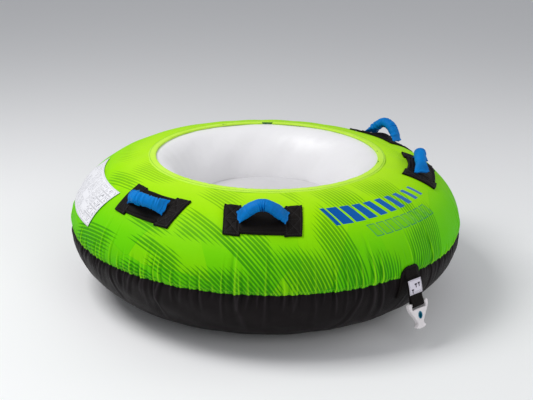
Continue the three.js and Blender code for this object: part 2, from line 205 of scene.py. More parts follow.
def sweep(name, centres, across, normals, outline, material, closed=False):
    # outline(k) gives the cross-section's points at step k as (along across, along normal)
    rings = []
    for k, (c, a, n) in enumerate(zip(centres, across, normals)):
        rings.append([c + a * p + n * q for p, q in outline(k)])
    rings = np.array(rings)
    count, sides = rings.shape[:2]
    faces = [tuple(f) for f in gridFaces(count, sides, closed, True)]
    if not closed:
        faces += [tuple(range(sides))[::-1], tuple((count - 1) * sides + i for i in range(sides))]
    length = np.concatenate([[0], np.cumsum(np.linalg.norm(np.diff(rings[:, 0], axis=0), axis=1))])
    coords = []
    for f in faces:
        coords += [(length[v // sides], (v % sides) / sides) for v in f]
    return meshPiece(name, rings, faces, material, {"cloth": coords})


def threadRun(name, points, normals, material, length=0.003, width=0.0007, gap=0.0016, loop=False):
    # a sewn line: one small raised stitch after another along points
    points, normals = np.asarray(points, float), np.asarray(normals, float)
    if loop:
        points, normals = np.vstack([points, points[:1]]), np.vstack([normals, normals[:1]])
    walked = np.concatenate([[0], np.cumsum(np.linalg.norm(np.diff(points, axis=0), axis=1))])
    starts = np.arange(0, walked[-1] - length, length + gap)

    def at(d, values):
        return np.stack([np.interp(d, walked, values[:, i]) for i in range(3)], -1)

    p, n = at(starts + length / 2, points), at(starts + length / 2, normals)
    run = at(starts + length, points) - at(starts, points)
    run /= np.linalg.norm(run, axis=1, keepdims=True)
    n /= np.linalg.norm(n, axis=1, keepdims=True)
    side = np.cross(n, run)
    verts = []
    for along, across, rise in stitchShape:
        verts.append(p + run * along * length + side * across * width + n * rise * width)
    verts = np.stack(verts, 1)
    offsets = np.arange(len(starts))[:, None, None] * len(stitchShape)
    return meshPiece(name, verts, (np.array(stitchFaces)[None] + offsets).reshape(-1, 4), material)


def boxLine(wide, high, count):
    # round a rectangle, count points to a side
    corners = np.array([(-1, -1), (1, -1), (1, 1), (-1, 1), (-1, -1)]) * [wide, high]
    return np.concatenate([np.linspace(a, b, count) for a, b in zip(corners, corners[1:])])


stitchShape = [(-0.5, -0.5, -0.6), (-0.5, 0.5, -0.6), (-0.2, 0.8, 0.5), (-0.2, -0.8, 0.5)]
stitchShape += [(0.2, -0.8, 0.5), (0.2, 0.8, 0.5), (0.5, 0.5, -0.6), (0.5, -0.5, -0.6)]
stitchFaces = [(0, 1, 2, 3), (3, 2, 5, 4), (4, 5, 6, 7), (0, 7, 6, 1), (0, 3, 4, 7), (1, 6, 5, 2)]


# ---- shader maths
class Wire:
    # one shader socket; sums and products of wires add Math nodes
    def __init__(self, tree, socket):
        self.tree, self.socket = tree, socket

    def maths(self, operation, first, second=None):
        node = self.tree.nodes.new("ShaderNodeMath")
        node.operation = operation
        for slot, value in zip(node.inputs, (first, second)):
            if isinstance(value, Wire):
                self.tree.links.new(value.socket, slot)
            elif value is not None:
                slot.default_value = value
        return Wire(self.tree, node.outputs[0])

    def __add__(self, other):
        return self.maths("ADD", self, other)

    __radd__ = __add__

    def __sub__(self, other):
        return self.maths("SUBTRACT", self, other)

    def __rsub__(self, other):
        return self.maths("SUBTRACT", other, self)

    def __mul__(self, other):
        return self.maths("MULTIPLY", self, other)

    __rmul__ = __mul__

    def __truediv__(self, other):
        return self.maths("DIVIDE", self, other)

    def __rtruediv__(self, other):
        return self.maths("DIVIDE", other, self)

    def __gt__(self, other):
        return self.maths("GREATER_THAN", self, other)

    def __lt__(self, other):
        return self.maths("LESS_THAN", self, other)

    def __abs__(self):
        return self.maths("ABSOLUTE", self)

    def floor(self):
        return self.maths("FLOOR", self)

    def fract(self):
        return self.maths("FRACT", self)

    def clamp(self):
        return self.maths("MINIMUM", self.maths("MAXIMUM", self, 0.0), 1.0)

    def least(self, other):
        return self.maths("MINIMUM", self, other)

    def most(self, other):
        return self.maths("MAXIMUM", self, other)

    def sine(self):
        return self.maths("SINE", self)


class Finish:
    # one material with a Principled shader; what is the same all over is set on its sockets
    def __init__(self, name, **fixed):
        self.material = bpy.data.materials.new(name)
        self.material.use_nodes = True
        self.tree = self.material.node_tree
        self.shader = self.tree.nodes["Principled BSDF"]
        for socket, value in fixed.items():
            self.shader.inputs[socket.replace("_", " ")].default_value = value

    def node(self, kind, settings=None, inputs=None, out=0):
        made = self.tree.nodes.new(kind)
        for key, value in (settings or {}).items():
            if key == "stops":
                while len(made.color_ramp.elements) < len(value):
                    made.color_ramp.elements.new(1.0)
                for element, (place, colour) in zip(made.color_ramp.elements, value):
                    element.position, element.color = place, (*colour, 1)
            else:
                setattr(made, key, value)
        for key, value in (inputs or {}).items():
            if isinstance(value, Wire):
                self.tree.links.new(value.socket, made.inputs[key])
            else:
                made.inputs[key].default_value = value
        return Wire(self.tree, made.outputs[out])

    def place(self):
        return self.node("ShaderNodeTexCoord", out="Object")

    def layer(self, name):
        return self.split(self.node("ShaderNodeUVMap", {"uv_map": name}))

    def split(self, vector):
        parts = self.tree.nodes.new("ShaderNodeSeparateXYZ")
        self.tree.links.new(vector.socket, parts.inputs[0])
        return [Wire(self.tree, o) for o in parts.outputs]

    def vector(self, x=0.0, y=0.0, z=0.0):
        return self.node("ShaderNodeCombineXYZ", inputs={"X": x, "Y": y, "Z": z})

    def noise(self, vector, scale, detail=2.0, rough=0.5):
        inputs = {"Vector": vector, "Scale": scale, "Detail": detail, "Roughness": rough}
        return self.node("ShaderNodeTexNoise", None, inputs, "Fac")

    def mix(self, share, first, second, blend="MIX"):
        keep = {"data_type": "RGBA", "blend_type": blend}
        first = first if isinstance(first, Wire) else (*first, 1)
        second = second if isinstance(second, Wire) else (*second, 1)
        return self.node("ShaderNodeMix", keep, {0: share, 6: first, 7: second}, 2)

    def ramp(self, value, stops):
        return self.node("ShaderNodeValToRGB", {"stops": stops}, {"Fac": value})

    def bump(self, height, distance, strength=1.0, normal=None):
        inputs = {"Height": height, "Distance": distance, "Strength": strength}
        if normal:
            inputs["Normal"] = normal
        return self.node("ShaderNodeBump", None, inputs)

    def weave(self, x, y, pitch):
        # plain weave: over and under, from two crossed waves
        turn = 2 * math.pi / pitch
        return (x * turn).sine() * (y * turn).sine()

    def wear(self, **wires):
        for socket, wire in wires.items():
            self.tree.links.new(wire.socket, self.shader.inputs[socket.replace("_", " ")])
        return self.material


def paintFoldHighlightAndShade(f, paint, ridge, valley, share):
    # painted highlight where the cloth stands up in a fold, painted shade where it is drawn in
    lift = f.layer("crease")[0]
    paint = f.mix(((lift - 0.56) * 4.0).clamp() * share, paint, ridge)
    return f.mix(((0.44 - lift) * 4.0).clamp() * share, paint, valley)


def makeGreenPrint():
    look = {
        "pitch": 0.0106,  # between printed lines
        "widest": 0.78,  # share of the pitch that a line fills at its middle
        "clusters": (3.6, 8.0),  # how often bunches come along and across the lines
        "shear": 5.5,  # slant of the bunches' pointed ends
        "taper": 4.2,
        "point": 0.055,  # length of a line's point
        "drawn": 0.10,  # the front half carries the bunches below instead
        "plain": 0.38,  # share of bunches left unprinted
        "dark": (0.026, 0.25, 0.003),
        "top": 0.36,  # cloth from the side seam to the hem
    }
    # across from and to, then where the lines start and end along the cloth at both of those
    bunches = [
        (-0.530, -0.464, 0.20, 0.155, 0.25, 0.36),
        (-0.464, -0.428, 0.16, 0.165, 0.72, 0.72),
        (-0.428, -0.352, 0.31, 0.37, 0.60, 0.43),
        (-0.615, -0.440, 0.24, 0.455, 0.80, 0.80),
        (-0.640, -0.556, 0.16, 0.20, 0.36, 0.29),
        (-0.400, -0.250, 0.41, 0.52, 0.80, 0.80),
        (-0.385, -0.296, 0.13, 0.13, 0.30, 0.27),
        (-0.218, -0.178, 0.25, 0.26, 0.40, 0.36),
        (-0.262, -0.160, 0.47, 0.37, 0.80, 0.80),
        (-0.150, -0.036, 0.31, 0.33, 0.47, 0.50),
        (-0.012, 0.112, 0.33, 0.36, 0.46, 0.62),
        (-0.158, -0.036, 0.575, 0.62, 0.80, 0.80),
        (0.012, 0.176, 0.56, 0.48, 0.80, 0.80),
        (-0.415, -0.312, -0.16, -0.19, 0.03, 0.09),
        (-0.480, -0.418, -0.20, -0.22, 0.0, -0.04),
        (-0.562, -0.524, 0.02, 0.05, 0.18, 0.23),
        (-0.606, -0.562, 0.07, 0.13, 0.24, 0.33),
        (-0.700, -0.606, -0.24, -0.20, 0.02, 0.06),
        (-0.720, -0.648, 0.03, 0.10, 0.20, 0.28),
    ]
    f = Finish("greenPrintedNylon", Specular_IOR_Level=0.06)
    place = f.place()
    u, v, _ = f.layer("flat")
    round_, s, _ = f.layer("ring")
    lime = f.ramp(
        s / look["top"],
        [
            (0.0, (0.095, 0.52, 0.0)),
            (0.30, (0.17, 0.64, 0.0)),
            (0.65, (0.34, 0.75, 0.0)),
            (1.0, (0.46, 0.82, 0.015)),
        ],
    )
    slanted = {"Vector": f.vector(u * 1.2 + v * 0.9, v * 1.9 - u * 0.4), "Scale": 3.1}
    facets = f.node("ShaderNodeTexVoronoi", {"feature": "F1"}, slanted, 1)
    tone = f.split(facets)[0]
    fade = (1.0 - s / 0.30).clamp()
    lime = f.mix((tone > 0.6) * 0.4 * fade, lime, (0.10, 0.62, 0.0))
    lime = f.mix((tone < 0.25) * 0.45 * fade, lime, (0.32, 0.74, 0.0))
    k = v / look["pitch"]
    row = k.floor()
    rowAt = row * look["pitch"]
    ragged = f.noise(f.vector(row * 7.31, u * 0.6), 1.0, 0.0)
    along, across = look["clusters"]
    shear = f.vector(u * along + rowAt * look["shear"] + (ragged - 0.5) * 0.16, rowAt * across)
    scattered = {"Vector": shear, "Scale": 1.0, "Randomness": 0.85}
    cells = f.node("ShaderNodeTexVoronoi", {"feature": "F1"}, scattered, 1)
    borders = f.node("ShaderNodeTexVoronoi", {"feature": "DISTANCE_TO_EDGE"}, scattered)
    pick, other, _ = f.split(cells)
    bare = look["plain"] - (1.0 - s / 0.13).clamp() * 0.3
    width = (borders * look["taper"]).clamp() * ((pick - bare) * 9.0).clamp() * (other * 0.5 + 0.6).clamp()
    width = width * ((look["drawn"] - (u * 0.755 - v * 0.656)) * 12.0).clamp()
    for low, high, startLow, startHigh, endLow, endHigh in bunches:
        # one bunch of lines, its pointed ends stepping from one line to the next
        t = (rowAt - low) / (high - low)
        reach = (u - startLow - t * (startHigh - startLow)).least(endLow - u + t * (endHigh - endLow))
        thinner = 1.0 - abs(t - 0.5) * abs(t - 0.5) * 2.0
        pointed = ((reach + (ragged - 0.5) * 0.03) / look["point"]).clamp()
        width = width.most(pointed * (abs(t - 0.5) < 0.5) * thinner)
    width = width * look["widest"]
    fromMiddle = abs(k.fract() - 0.5)
    line = ((width * 0.5 - fromMiddle) * 14.0).clamp() * (width > 0.03)
    uneven = (f.noise(f.vector(u * 3.0, rowAt * 6.0), 1.0, 1.0) * 0.5 + 0.62).clamp()
    colour = f.mix(line * (1.08 - s / look["top"] * 0.78).clamp() * uneven, lime, look["dark"])
    edges = f.node("ShaderNodeTexVoronoi", {"feature": "DISTANCE_TO_EDGE"}, slanted)
    colour = f.mix((edges < 0.006) * (tone > 0.4) * 0.3 * fade, colour, (0.04, 0.34, 0.003))
    # a plain blue motif of slanted bars that narrow as they go, with outlined ones under it
    motif = {"middle": 0.0165, "low": 0.185, "high": 0.252, "bar": 0.042, "slant": 0.42, "half": 0.187}
    lean = round_ - motif["middle"] + (s - motif["low"]) * motif["slant"]
    count = lean / motif["bar"]
    cell = count.fract()
    filled = 0.86 - (count.floor() + 5.0) * 0.055
    inRow = (s > motif["low"]) * (s < motif["high"]) * (abs(lean) < motif["half"])
    step = abs(s - 0.2185) < 0.0335 - (count.floor() + 5.0) * 0.0012
    blues = [(0.1, (0.0, 0.085, 0.36)), (0.55, (0.01, 0.12, 0.42)), (0.95, (0.09, 0.22, 0.50))]
    blue = f.ramp(round_ / 0.5 + 0.5, blues)
    colour = f.mix(inRow * step * (cell < filled), colour, blue)
    small = {"low": 0.132, "high": 0.172, "bar": 0.030, "half": 0.12}
    lean2 = round_ - 0.045 + (s - small["low"]) * motif["slant"]
    cell2 = abs((lean2 / small["bar"]).fract() - 0.5)
    height2 = abs(s - (small["low"] + small["high"]) / 2)
    inside = (cell2 < 0.40) * (height2 < 0.02) * (abs(lean2) < small["half"])
    hollow = (cell2 < 0.33) * (height2 < 0.0178)
    colour = f.mix(inside * (1 - hollow) * 0.8, colour, (0.0, 0.17, 0.15))
    colour = f.mix(inside * hollow * 0.3, colour, (0.05, 0.40, 0.02))
    dirt = f.noise(place, 6.0, 3.0)
    colour = f.mix(((dirt - 0.5) * 1.4).clamp() * 0.10, colour, (0.16, 0.40, 0.005))
    # painted highlight on the fold ridges and painted shade in the fold valleys
    colour = paintFoldHighlightAndShade(f, colour, (0.40, 0.92, 0.01), (0.018, 0.23, 0.001), 0.62)
    cloth = f.weave(u, v, 0.0021) * 0.5 + f.noise(place, 420.0, 2.0) * 0.5
    creases = f.noise(f.vector(round_ * 26.0, s * 3.0), 1.0, 3.0, 0.6)
    normal = f.bump(cloth, 0.00025, 0.5, f.bump(creases, 0.0035, 0.35))
    rough = 0.5 + f.noise(place, 30.0, 3.0) * 0.14
    return f.wear(Base_Color=colour, Roughness=rough, Normal=normal)


def makePlainNylon(name, colour, other, rough, weave=0.0019, stretch=26.0, shine=0.12, folded=None):
    # stretch is how close the small creases lie; folded is the colours of the painted highlight on the
    # folds' ridges and the painted shade in their valleys
    f = Finish(name, Specular_IOR_Level=shine)
    place = f.place()
    x, y, _ = f.layer("cloth")
    patchy = f.noise(place, 9.0, 4.0, 0.6)
    paint = f.mix(((patchy - 0.35) * 2.2).clamp(), colour, other)
    if folded:
        # painted highlight on fold ridges and painted shade in fold valleys
        paint = paintFoldHighlightAndShade(f, paint, *folded, 0.6)
    cloth = f.weave(x, y, weave) * 0.5 + f.noise(place, 460.0, 2.0) * 0.5
    creases = f.noise(f.vector(x * stretch, y * 4.0), 1.0, 3.0, 0.6)
    normal = f.bump(cloth, 0.0003, 0.55, f.bump(creases, 0.003, 0.4))
    return f.wear(Base_Color=paint, Roughness=rough + f.noise(place, 40.0, 3.0) * 0.16, Normal=normal)


def makeWebbing():
    colour, other, rib = (0.0055, 0.0040, 0.0035), (0.0118, 0.0090, 0.0080), 0.0016
    f = Finish("blackWebbing", Specular_IOR_Level=0.10)
    place = f.place()
    x, y, _ = f.layer("cloth")
    turn = 2 * math.pi / rib
    ribs = (y * turn).sine()
    yarn = (x * (turn * 1.6) + (y / rib).floor() * math.pi).sine()
    fuzz = f.noise(place, 520.0, 3.0)
    cloth = ribs * 0.3 + yarn * 0.3 + fuzz * 0.4
    paint = f.mix((f.noise(place, 60.0, 4.0) * 1.5 - 0.3).clamp(), colour, other)
    normal = f.bump(cloth, 0.0005, 0.7, f.bump(f.noise(place, 45.0, 3.0), 0.002, 0.4))
    return f.wear(Base_Color=paint, Roughness=0.62 + fuzz * 0.2, Normal=normal)


def makeVinyl(name, low, high):
    f = Finish(name, Specular_IOR_Level=0.4, Coat_Roughness=0.3, Coat_Weight=0.1)
    place = f.place()
    cloudy = f.noise(place, 5.0, 3.0)
    paint = f.mix(cloudy, low, high)
    grain = {"Vector": place, "Scale": 900.0}
    leather = f.node("ShaderNodeTexVoronoi", {"feature": "DISTANCE_TO_EDGE"}, grain)
    normal = f.bump(leather, 0.0001, 0.25, f.bump(f.noise(place, 14.0, 3.0), 0.004, 0.35))
    return f.wear(Base_Color=paint, Roughness=0.33 + f.noise(place, 22.0, 4.0) * 0.16, Normal=normal)


def makePlastic(name, colour, other, rough):
    f = Finish(name, Specular_IOR_Level=0.5)
    place = f.place()
    paint = f.mix(f.noise(place, 35.0, 4.0), colour, other)
    drawn = f.node("ShaderNodeMapping", None, {"Vector": place, "Scale": (40.0, 900.0, 60.0)})
    scuffs = f.noise(drawn, 1.0, 4.0)
    normal = f.bump(f.noise(place, 900.0, 2.0), 0.00012, 0.4, f.bump(scuffs, 0.0002, 0.3))
    return f.wear(Base_Color=paint, Roughness=rough + f.noise(place, 55.0, 4.0) * 0.18, Normal=normal)


def makeCareLabel(name, width, height):
    # fine grey rows in columns, and boxed marks along one end, all of them plain dashes
    f = Finish(name, Specular_IOR_Level=0.4)
    place = f.place()
    x, y, _ = f.layer("cloth")
    white = f.mix(f.noise(place, 12.0, 4.0), (0.78, 0.78, 0.81), (0.86, 0.86, 0.89))
    row = y / 0.0031
    letters = f.noise(f.vector(x * 520.0, row.floor() * 9.7), 1.0, 1.0)
    words = f.noise(f.vector(x * 95.0, row.floor() * 3.3), 1.0, 0.0)
    rows = (abs(row.fract() - 0.5) < 0.26) * (letters > 0.46) * (words > 0.40)
    column = x / 0.054
    paragraph = f.noise(f.vector(column.floor() * 5.1, (y / 0.021).floor() * 7.7), 1.0, 0.0)
    text = rows * (abs(column.fract() - 0.5) < 0.45) * (paragraph > 0.38)
    inset = (abs(x) < width / 2 - 0.008) * (abs(y) < height / 2 - 0.008)
    boxEnd = (x > width / 2 - 0.075)
    paint = f.mix(text * inset * (1 - boxEnd) * 0.6, white, (0.20, 0.20, 0.22))
    gx, gy = ((x - width / 2) / 0.031).fract(), ((y + height / 2) / 0.027).fract()
    frameLine = 1 - (abs(gx - 0.5) < 0.43) * (abs(gy - 0.5) < 0.42)
    mark = f.noise(f.vector(x * 120.0, y * 120.0), 1.0, 0.0) > 0.56
    mark = mark * (abs(gx - 0.5) < 0.3) * (abs(gy - 0.5) < 0.3)
    paint = f.mix((frameLine * 0.35 + mark * 0.62).clamp() * inset * boxEnd, paint, (0.10, 0.10, 0.12))
    normal = f.bump(f.noise(place, 300.0, 2.0), 0.0002, 0.4, f.bump(f.noise(place, 24.0, 3.0), 0.004, 0.4))
    return f.wear(Base_Color=paint, Roughness=0.42 + f.noise(place, 60.0, 3.0) * 0.15, Normal=normal)


def makeTowLabel():
    f = Finish("towLabelFilm", Specular_IOR_Level=0.4)
    place = f.place()
    x, y, _ = f.layer("cloth")
    white = f.mix(f.noise(place, 60.0, 4.0), (0.66, 0.62, 0.71), (0.78, 0.75, 0.82))
    # three small dark marks, each a bar over a stem, stepping down to one side
    marks = None
    for centre, height in ((-0.012, -0.008), (0.002, 0.006), (0.014, 0.007)):
        bar = (abs(x - centre) < 0.0045) * (abs(y - height) < 0.0022)
        stem = (abs(x - centre) < 0.0018) * (abs(y - height + 0.004) < 0.0055)
        marks = (bar + stem).clamp() if marks is None else (marks + bar + stem).clamp()
    paint = f.mix(marks, white, (0.03, 0.02, 0.04))
    letters = f.noise(f.vector(x * 900.0, (y / 0.0022).floor() * 5.0), 1.0, 1.0) > 0.5
    paint = f.mix(letters * (y < -0.012) * (y > -0.017) * (abs(x) < 0.021) * 0.5, paint, (0.2, 0.18, 0.24))
    normal = f.bump(f.noise(place, 500.0, 2.0), 0.0002, 0.4)
    return f.wear(Base_Color=paint, Roughness=0.45 + f.noise(place, 90.0, 3.0) * 0.1, Normal=normal)


finishes = {
    "green": makeGreenPrint(),
    "hem": makePlainNylon("limeHemNylon", (0.52, 0.85, 0.05), (0.60, 0.90, 0.10), 0.5, stretch=40.0),
    "black": makePlainNylon(
        "blackNylon",
        (0.0056, 0.0038, 0.0042),
        (0.0098, 0.0070, 0.0078),
        0.42,
        shine=0.085,
        # folded: painted highlight colour for fold ridges, painted shade colour for fold valleys
        folded=((0.030, 0.025, 0.028), (0.0015, 0.0010, 0.0012)),
    ),
    "pad": makePlainNylon(
        "padCloth", (0.0056, 0.0041, 0.0036), (0.0100, 0.0076, 0.0066), 0.46, stretch=60.0, shine=0.09
    ),
    "blue": makePlainNylon(
        "blueNylon", (0.0, 0.135, 0.46), (0.0, 0.24, 0.70), 0.42, stretch=90.0, shine=0.10
    ),
    "webbing": makeWebbing(),
    "vinyl": makeVinyl("whiteVinyl", (0.80, 0.79, 0.805), (0.85, 0.84, 0.85)),
    # the same white vinyl made darker for the cockpit floor: painted shade
    "shadedFloorVinyl": makeVinyl("whiteVinylPaintedShade", (0.60, 0.59, 0.605), (0.66, 0.65, 0.665)),
    "white": makePlastic("whiteMouldedPlastic", (0.74, 0.70, 0.715), (0.82, 0.78, 0.79), 0.36),
    "teal": makePlastic("tealPlastic", (0.0, 0.16, 0.27), (0.0, 0.22, 0.34), 0.35),
    "blackPlastic": makePlastic("blackPlastic", (0.012, 0.012, 0.013), (0.03, 0.03, 0.032), 0.38),
    "valve": makePlastic("valvePlastic", (0.70, 0.72, 0.74), (0.78, 0.79, 0.81), 0.36),
    "silicone": makePlastic("valveSilicone", (0.40, 0.43, 0.46), (0.50, 0.53, 0.56), 0.45),
    "limeThread": makePlastic("limeThread", (0.20, 0.62, 0.01), (0.30, 0.72, 0.03), 0.6),
    "blackThread": makePlastic("blackThread", (0.02, 0.018, 0.019), (0.045, 0.042, 0.043), 0.6),
    "paleThread": makePlastic("paleThread", (0.5, 0.5, 0.52), (0.62, 0.62, 0.64), 0.6),
    "cord": makePlainNylon("braidedCord", (0.012, 0.12, 0.02), (0.03, 0.2, 0.03), 0.6, weave=0.0012),
}
print("finishes made")

# ---- where stiff pieces lie, so that the cloth is smooth under them
# degrees up the section, height in mm, how round the arch is, lean in degrees; how crumpled, how far the
# wide ends reach in, how far the panel bulges and how far the arch is pushed up the tube, both in mm
gripShape = ("section", "rise", "round", "lean", "seed", "bunch", "flare", "bulge", "slide")
grips = {
    "right_front": dict(zip(gripShape, (57, 39, 0.40, 13, 3, 0.3, 0.85, 0, 0))),
    "right_rear": dict(zip(gripShape, (55, 36, 0.50, -28, 9, 1.0, 0.4, 0, 0))),
    "left_front": dict(zip(gripShape, (60, 37, 0.45, 42, 17, 0.3, 0.38, 0, 6))),
    "left_rear": dict(zip(gripShape, (58, 42, 0.80, 22, 29, 1.0, 0.4, 15, 0))),
}
careLabel = {"azimuth": -117.6, "section": 37.5, "width": 0.350, "height": 0.136}
stiff = []  # azimuth in radians, s, half-width and half-height
for name in grips:
    pivot = joints[name + "_grip_swing"]["pos_m"]
    grips[name]["azimuth"] = math.atan2(pivot[1], pivot[0])
    stiff.append((grips[name]["azimuth"], arcAt(grips[name]["section"]), 0.107, 0.055))
stiff.append((math.radians(careLabel["azimuth"]), arcAt(careLabel["section"]), 0.172, 0.066))
stiff.append((0.0, -0.018, 0.036, 0.046))
stiff.append((math.pi, arcAt(-35), 0.34, 0.022))


def slackness(azimuth, s):
    # 1 on open cloth, down to 0 under a stiff piece
    slack = np.ones(np.broadcast(azimuth, s).shape)
    for middle, height, halfWide, halfHigh in stiff:
        r, _ = section(angleAt(s))
        dx = np.abs((azimuth - middle + math.pi) % (2 * math.pi) - math.pi) * r - halfWide
        dy = np.abs(s - height) - halfHigh
        slack = slack * smooth(np.maximum(dx, dy), -0.002, 0.022)
    return slack


def install(piece, body, slot, *nodes):
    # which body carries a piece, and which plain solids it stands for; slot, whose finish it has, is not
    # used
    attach(piece, body)
    if nodes:
        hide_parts(*nodes)


# ---- cover
puckers = {
    "count": 138,
    "depth": (2.2, 5.4),  # this and the next two in mm, least and most
    "width": (4.0, 7.6),
    "long": (34, 175),
    "fine": 430,  # how many short ones
    "most": 0.004,  # height that gets the full painted ridge highlight, and its negative the full painted valley shade
}


def makePuckers():
    folds = []
    for kind, count in (("long", puckers["count"]), ("fine", puckers["fine"])):
        for i in range(count):
            azimuth = (i + rng.uniform(-0.42, 0.42)) / count * 2 * math.pi
            if kind == "long":
                reach = rng.uniform(0, 1) ** 1.35
                depth = np.interp(rng.uniform(0, 1) ** 1.3, [0, 1], puckers["depth"]) * mm
                width = np.interp(rng.uniform(0, 1), [0, 1], puckers["width"]) * mm
                longest = np.interp(reach, [0, 1], puckers["long"]) * mm
            else:
                depth = rng.uniform(0.5, 1.4) * mm
                width = rng.uniform(2.4, 3.8) * mm
                longest = rng.uniform(9, 38) * mm
            side = rng.choice([-1, 1])
            lean = rng.uniform(-0.12, 0.2)
            folds.append((azimuth, depth, width, longest, longest * rng.uniform(0.7, 1.5), side, lean))
    return folds


folds = makePuckers()


def puckerHeight(azimuth, s):
    # creases that run away from the side seam, each a valley beside a ridge
    total = np.zeros(np.broadcast(azimuth, s).shape)
    for middle, depth, width, above, below, side, lean in folds:
        near = np.abs((azimuth[:, 0] - middle + math.pi) % (2 * math.pi) - math.pi) < 0.13
        if not near.any():
            continue
        a, d = azimuth[near], s[near]
        reach = np.where(d > 0, above, below)
        fall = np.clip(1 - np.abs(d) / reach, 0, 1) ** 0.8
        spread = np.where(d > 0, 1.0, 1.0 + 1.3 * np.abs(d) / 0.1)
        bend = np.where(d > 0, 0.3, 1.3) * lean
        x = ((a - middle + math.pi) % (2 * math.pi) - math.pi) * tube["outer"]
        x = (x + bend * np.abs(d) + np.where(d < 0, lean * 3.5 * d * d, 0)) / width / spread * side
        valley, ridge, shoulder = hump(x, 0, 1), hump(x, 1.15, 0.62), hump(x, -2.1, 1.3)
        total[near] += depth * fall * (0.8 * ridge - 0.75 * valley + 0.15 * shoulder)
    return total


coverGrid = {"columns": 1920, "groove": 0.0042, "grooveWidth": 0.007}
seamTight = rng.uniform(-1, 1, 96)


def seamWaver(azimuth):
    # how far the seam rides up or down, scalloped between its tight spots
    x = (azimuth % (2 * math.pi)) / (2 * math.pi) * len(seamTight)
    base = np.interp(x, np.arange(len(seamTight) + 1), np.append(seamTight, seamTight[0]))
    scallop = np.abs(np.sin(x * math.pi)) - 0.6
    return (base * 1.2 + scallop * 1.8) * mm


def coverPoints(azimuth, s, folded=None):
    slack = slackness(azimuth, s)
    height = puckerHeight(azimuth, s) * slack if folded is None else folded
    height = height + ripples(azimuth, 14, s, 24, 5, rough=1.3) * 0.0011 * slack
    groove = coverGrid["groove"] * np.exp(-((s / coverGrid["grooveWidth"]) ** 2))
    height = height - groove * (0.1 + 0.9 * slack) + 0.0022 * smooth(np.abs(s), 0.004, 0.03) * slack
    limit = smooth(0.055 - np.abs(s), 0, 0.05)
    height = height + swell(azimuth, s) - 0.0022
    points = onTube(azimuth, s + seamWaver(azimuth) * limit * (0.3 + 0.7 * slack), height)
    points[..., 2] = np.maximum(points[..., 2], 0.0004)  # flat where it lies on the ground
    return points


def clothRows(length, count, first=0.0018):
    # rows close together at the seam and further apart away from it
    steps = np.linspace(0, 1, count) ** 1.45
    return np.maximum(steps * length, np.arange(count) * first * 0.8)


def coverPanel(name, s, columns, material):
    azimuth = np.arange(columns) / columns * 2 * math.pi
    a, d = np.meshgrid(azimuth, s, indexing="ij")
    folded = puckerHeight(a, d) * slackness(a, d)
    points = coverPoints(a, d, folded)
    lift = np.append(folded, folded[:1], axis=0) / puckers["most"] / 2 + 0.5
    turns = np.append(azimuth, 2 * math.pi)
    ta, td = np.meshgrid(turns, s, indexing="ij")
    cut = tube["hemEdge"] + arcAt(90) - td  # radius on the flat cloth, before it is gathered
    flat = np.stack([cut * np.cos(ta), cut * np.sin(ta)], -1)
    ring = np.stack([(ta - 2 * math.pi * (ta > math.pi)) * 0.5, td], -1)
    layers = {"flat": gridLayer(flat), "ring": gridLayer(ring)}
    layers["cloth"] = gridLayer(np.stack([ta * 0.5, td], -1))
    layers["crease"] = gridLayer(np.stack([lift, lift], -1))
    faces = gridFaces(columns, len(s), True)
    if s[-1] < s[0]:
        faces = faces[:, ::-1]
        layers = {k: v.reshape(-1, 4, 2)[:, ::-1].reshape(-1, 2) for k, v in layers.items()}
    return meshPiece(name, points, faces, material, layers)


def makeCover():
    hemOuter = tube["hemEdge"] + tube["hemWidth"]
    tucked = (hemOuter - 0.006 - tube["crest"]) / (tube["outer"] - tube["crest"])
    top = arcAt(math.degrees(math.acos(tucked)))
    columns = coverGrid["columns"]
    upper = coverPanel("green_upper_cover", clothRows(top, 52), columns, finishes["green"])
    lowest = arcAt(-88.5)
    lower = coverPanel("black_lower_cover", -clothRows(-lowest, 44), columns, finishes["black"])
    # the flat underside, which carries on from the lower cover
    azimuth = np.arange(240) / 240 * 2 * math.pi
    reach = np.concatenate([[section(-88.5)[0] + 0.002], np.linspace(0.352, 0.015, 22)])
    a, r = np.meshgrid(azimuth, reach, indexing="ij")
    z = np.where(r > 0.3535, 0.0002, 0.0) + 0.0004 + 0.0004 * ripples(a, 6, r, 30, 31)
    points = np.stack([r * np.cos(a), r * np.sin(a), np.maximum(z, 0)], -1)
    ta, tr = np.meshgrid(np.append(azimuth, 2 * math.pi), reach, indexing="ij")
    layer = gridLayer(np.stack([tr * np.cos(ta), tr * np.sin(ta)], -1))
    faces = [tuple(f[::-1]) for f in gridFaces(240, len(reach), True)]
    layer = layer.reshape(-1, 4, 2)[:, ::-1].reshape(-1, 2).tolist()
    hub = [i * len(reach) + len(reach) - 1 for i in range(240)]
    faces.append(tuple(hub[::-1]))
    layer += [(points.reshape(-1, 3)[i][0], points.reshape(-1, 3)[i][1]) for i in hub[::-1]]
    layers = {"cloth": layer, "crease": [(0.5, 0.5)] * len(layer)}
    underside = meshPiece("black_underside", points, faces, finishes["black"], layers)
    install(upper, "tube", "green_nylon", "cover_upper_panel")
    install(lower, "tube", "black_nylon", "cover_lower_panel")
    install(underside, "tube", "black_nylon")
    # two sewn lines above the seam
    azimuth = np.linspace(0, 2 * math.pi, 1080, endpoint=False)[:, None]
    for number, s in enumerate((0.0045, 0.0085)):
        line = coverPoints(azimuth, np.full_like(azimuth, s))[:, 0]
        out = onTube(azimuth[:, 0], s, 1.0) - onTube(azimuth[:, 0], s)
        line = line + out * 0.0002
        thread = threadRun(f"seam_thread_{number + 1}", line, out, finishes["limeThread"], loop=True)
        install(thread, "tube", "green_nylon")


# ---- hem
hem = {"width": 0.0245, "thick": 0.0050, "columns": 720, "notch": math.radians(139), "notchWidth": 0.013}


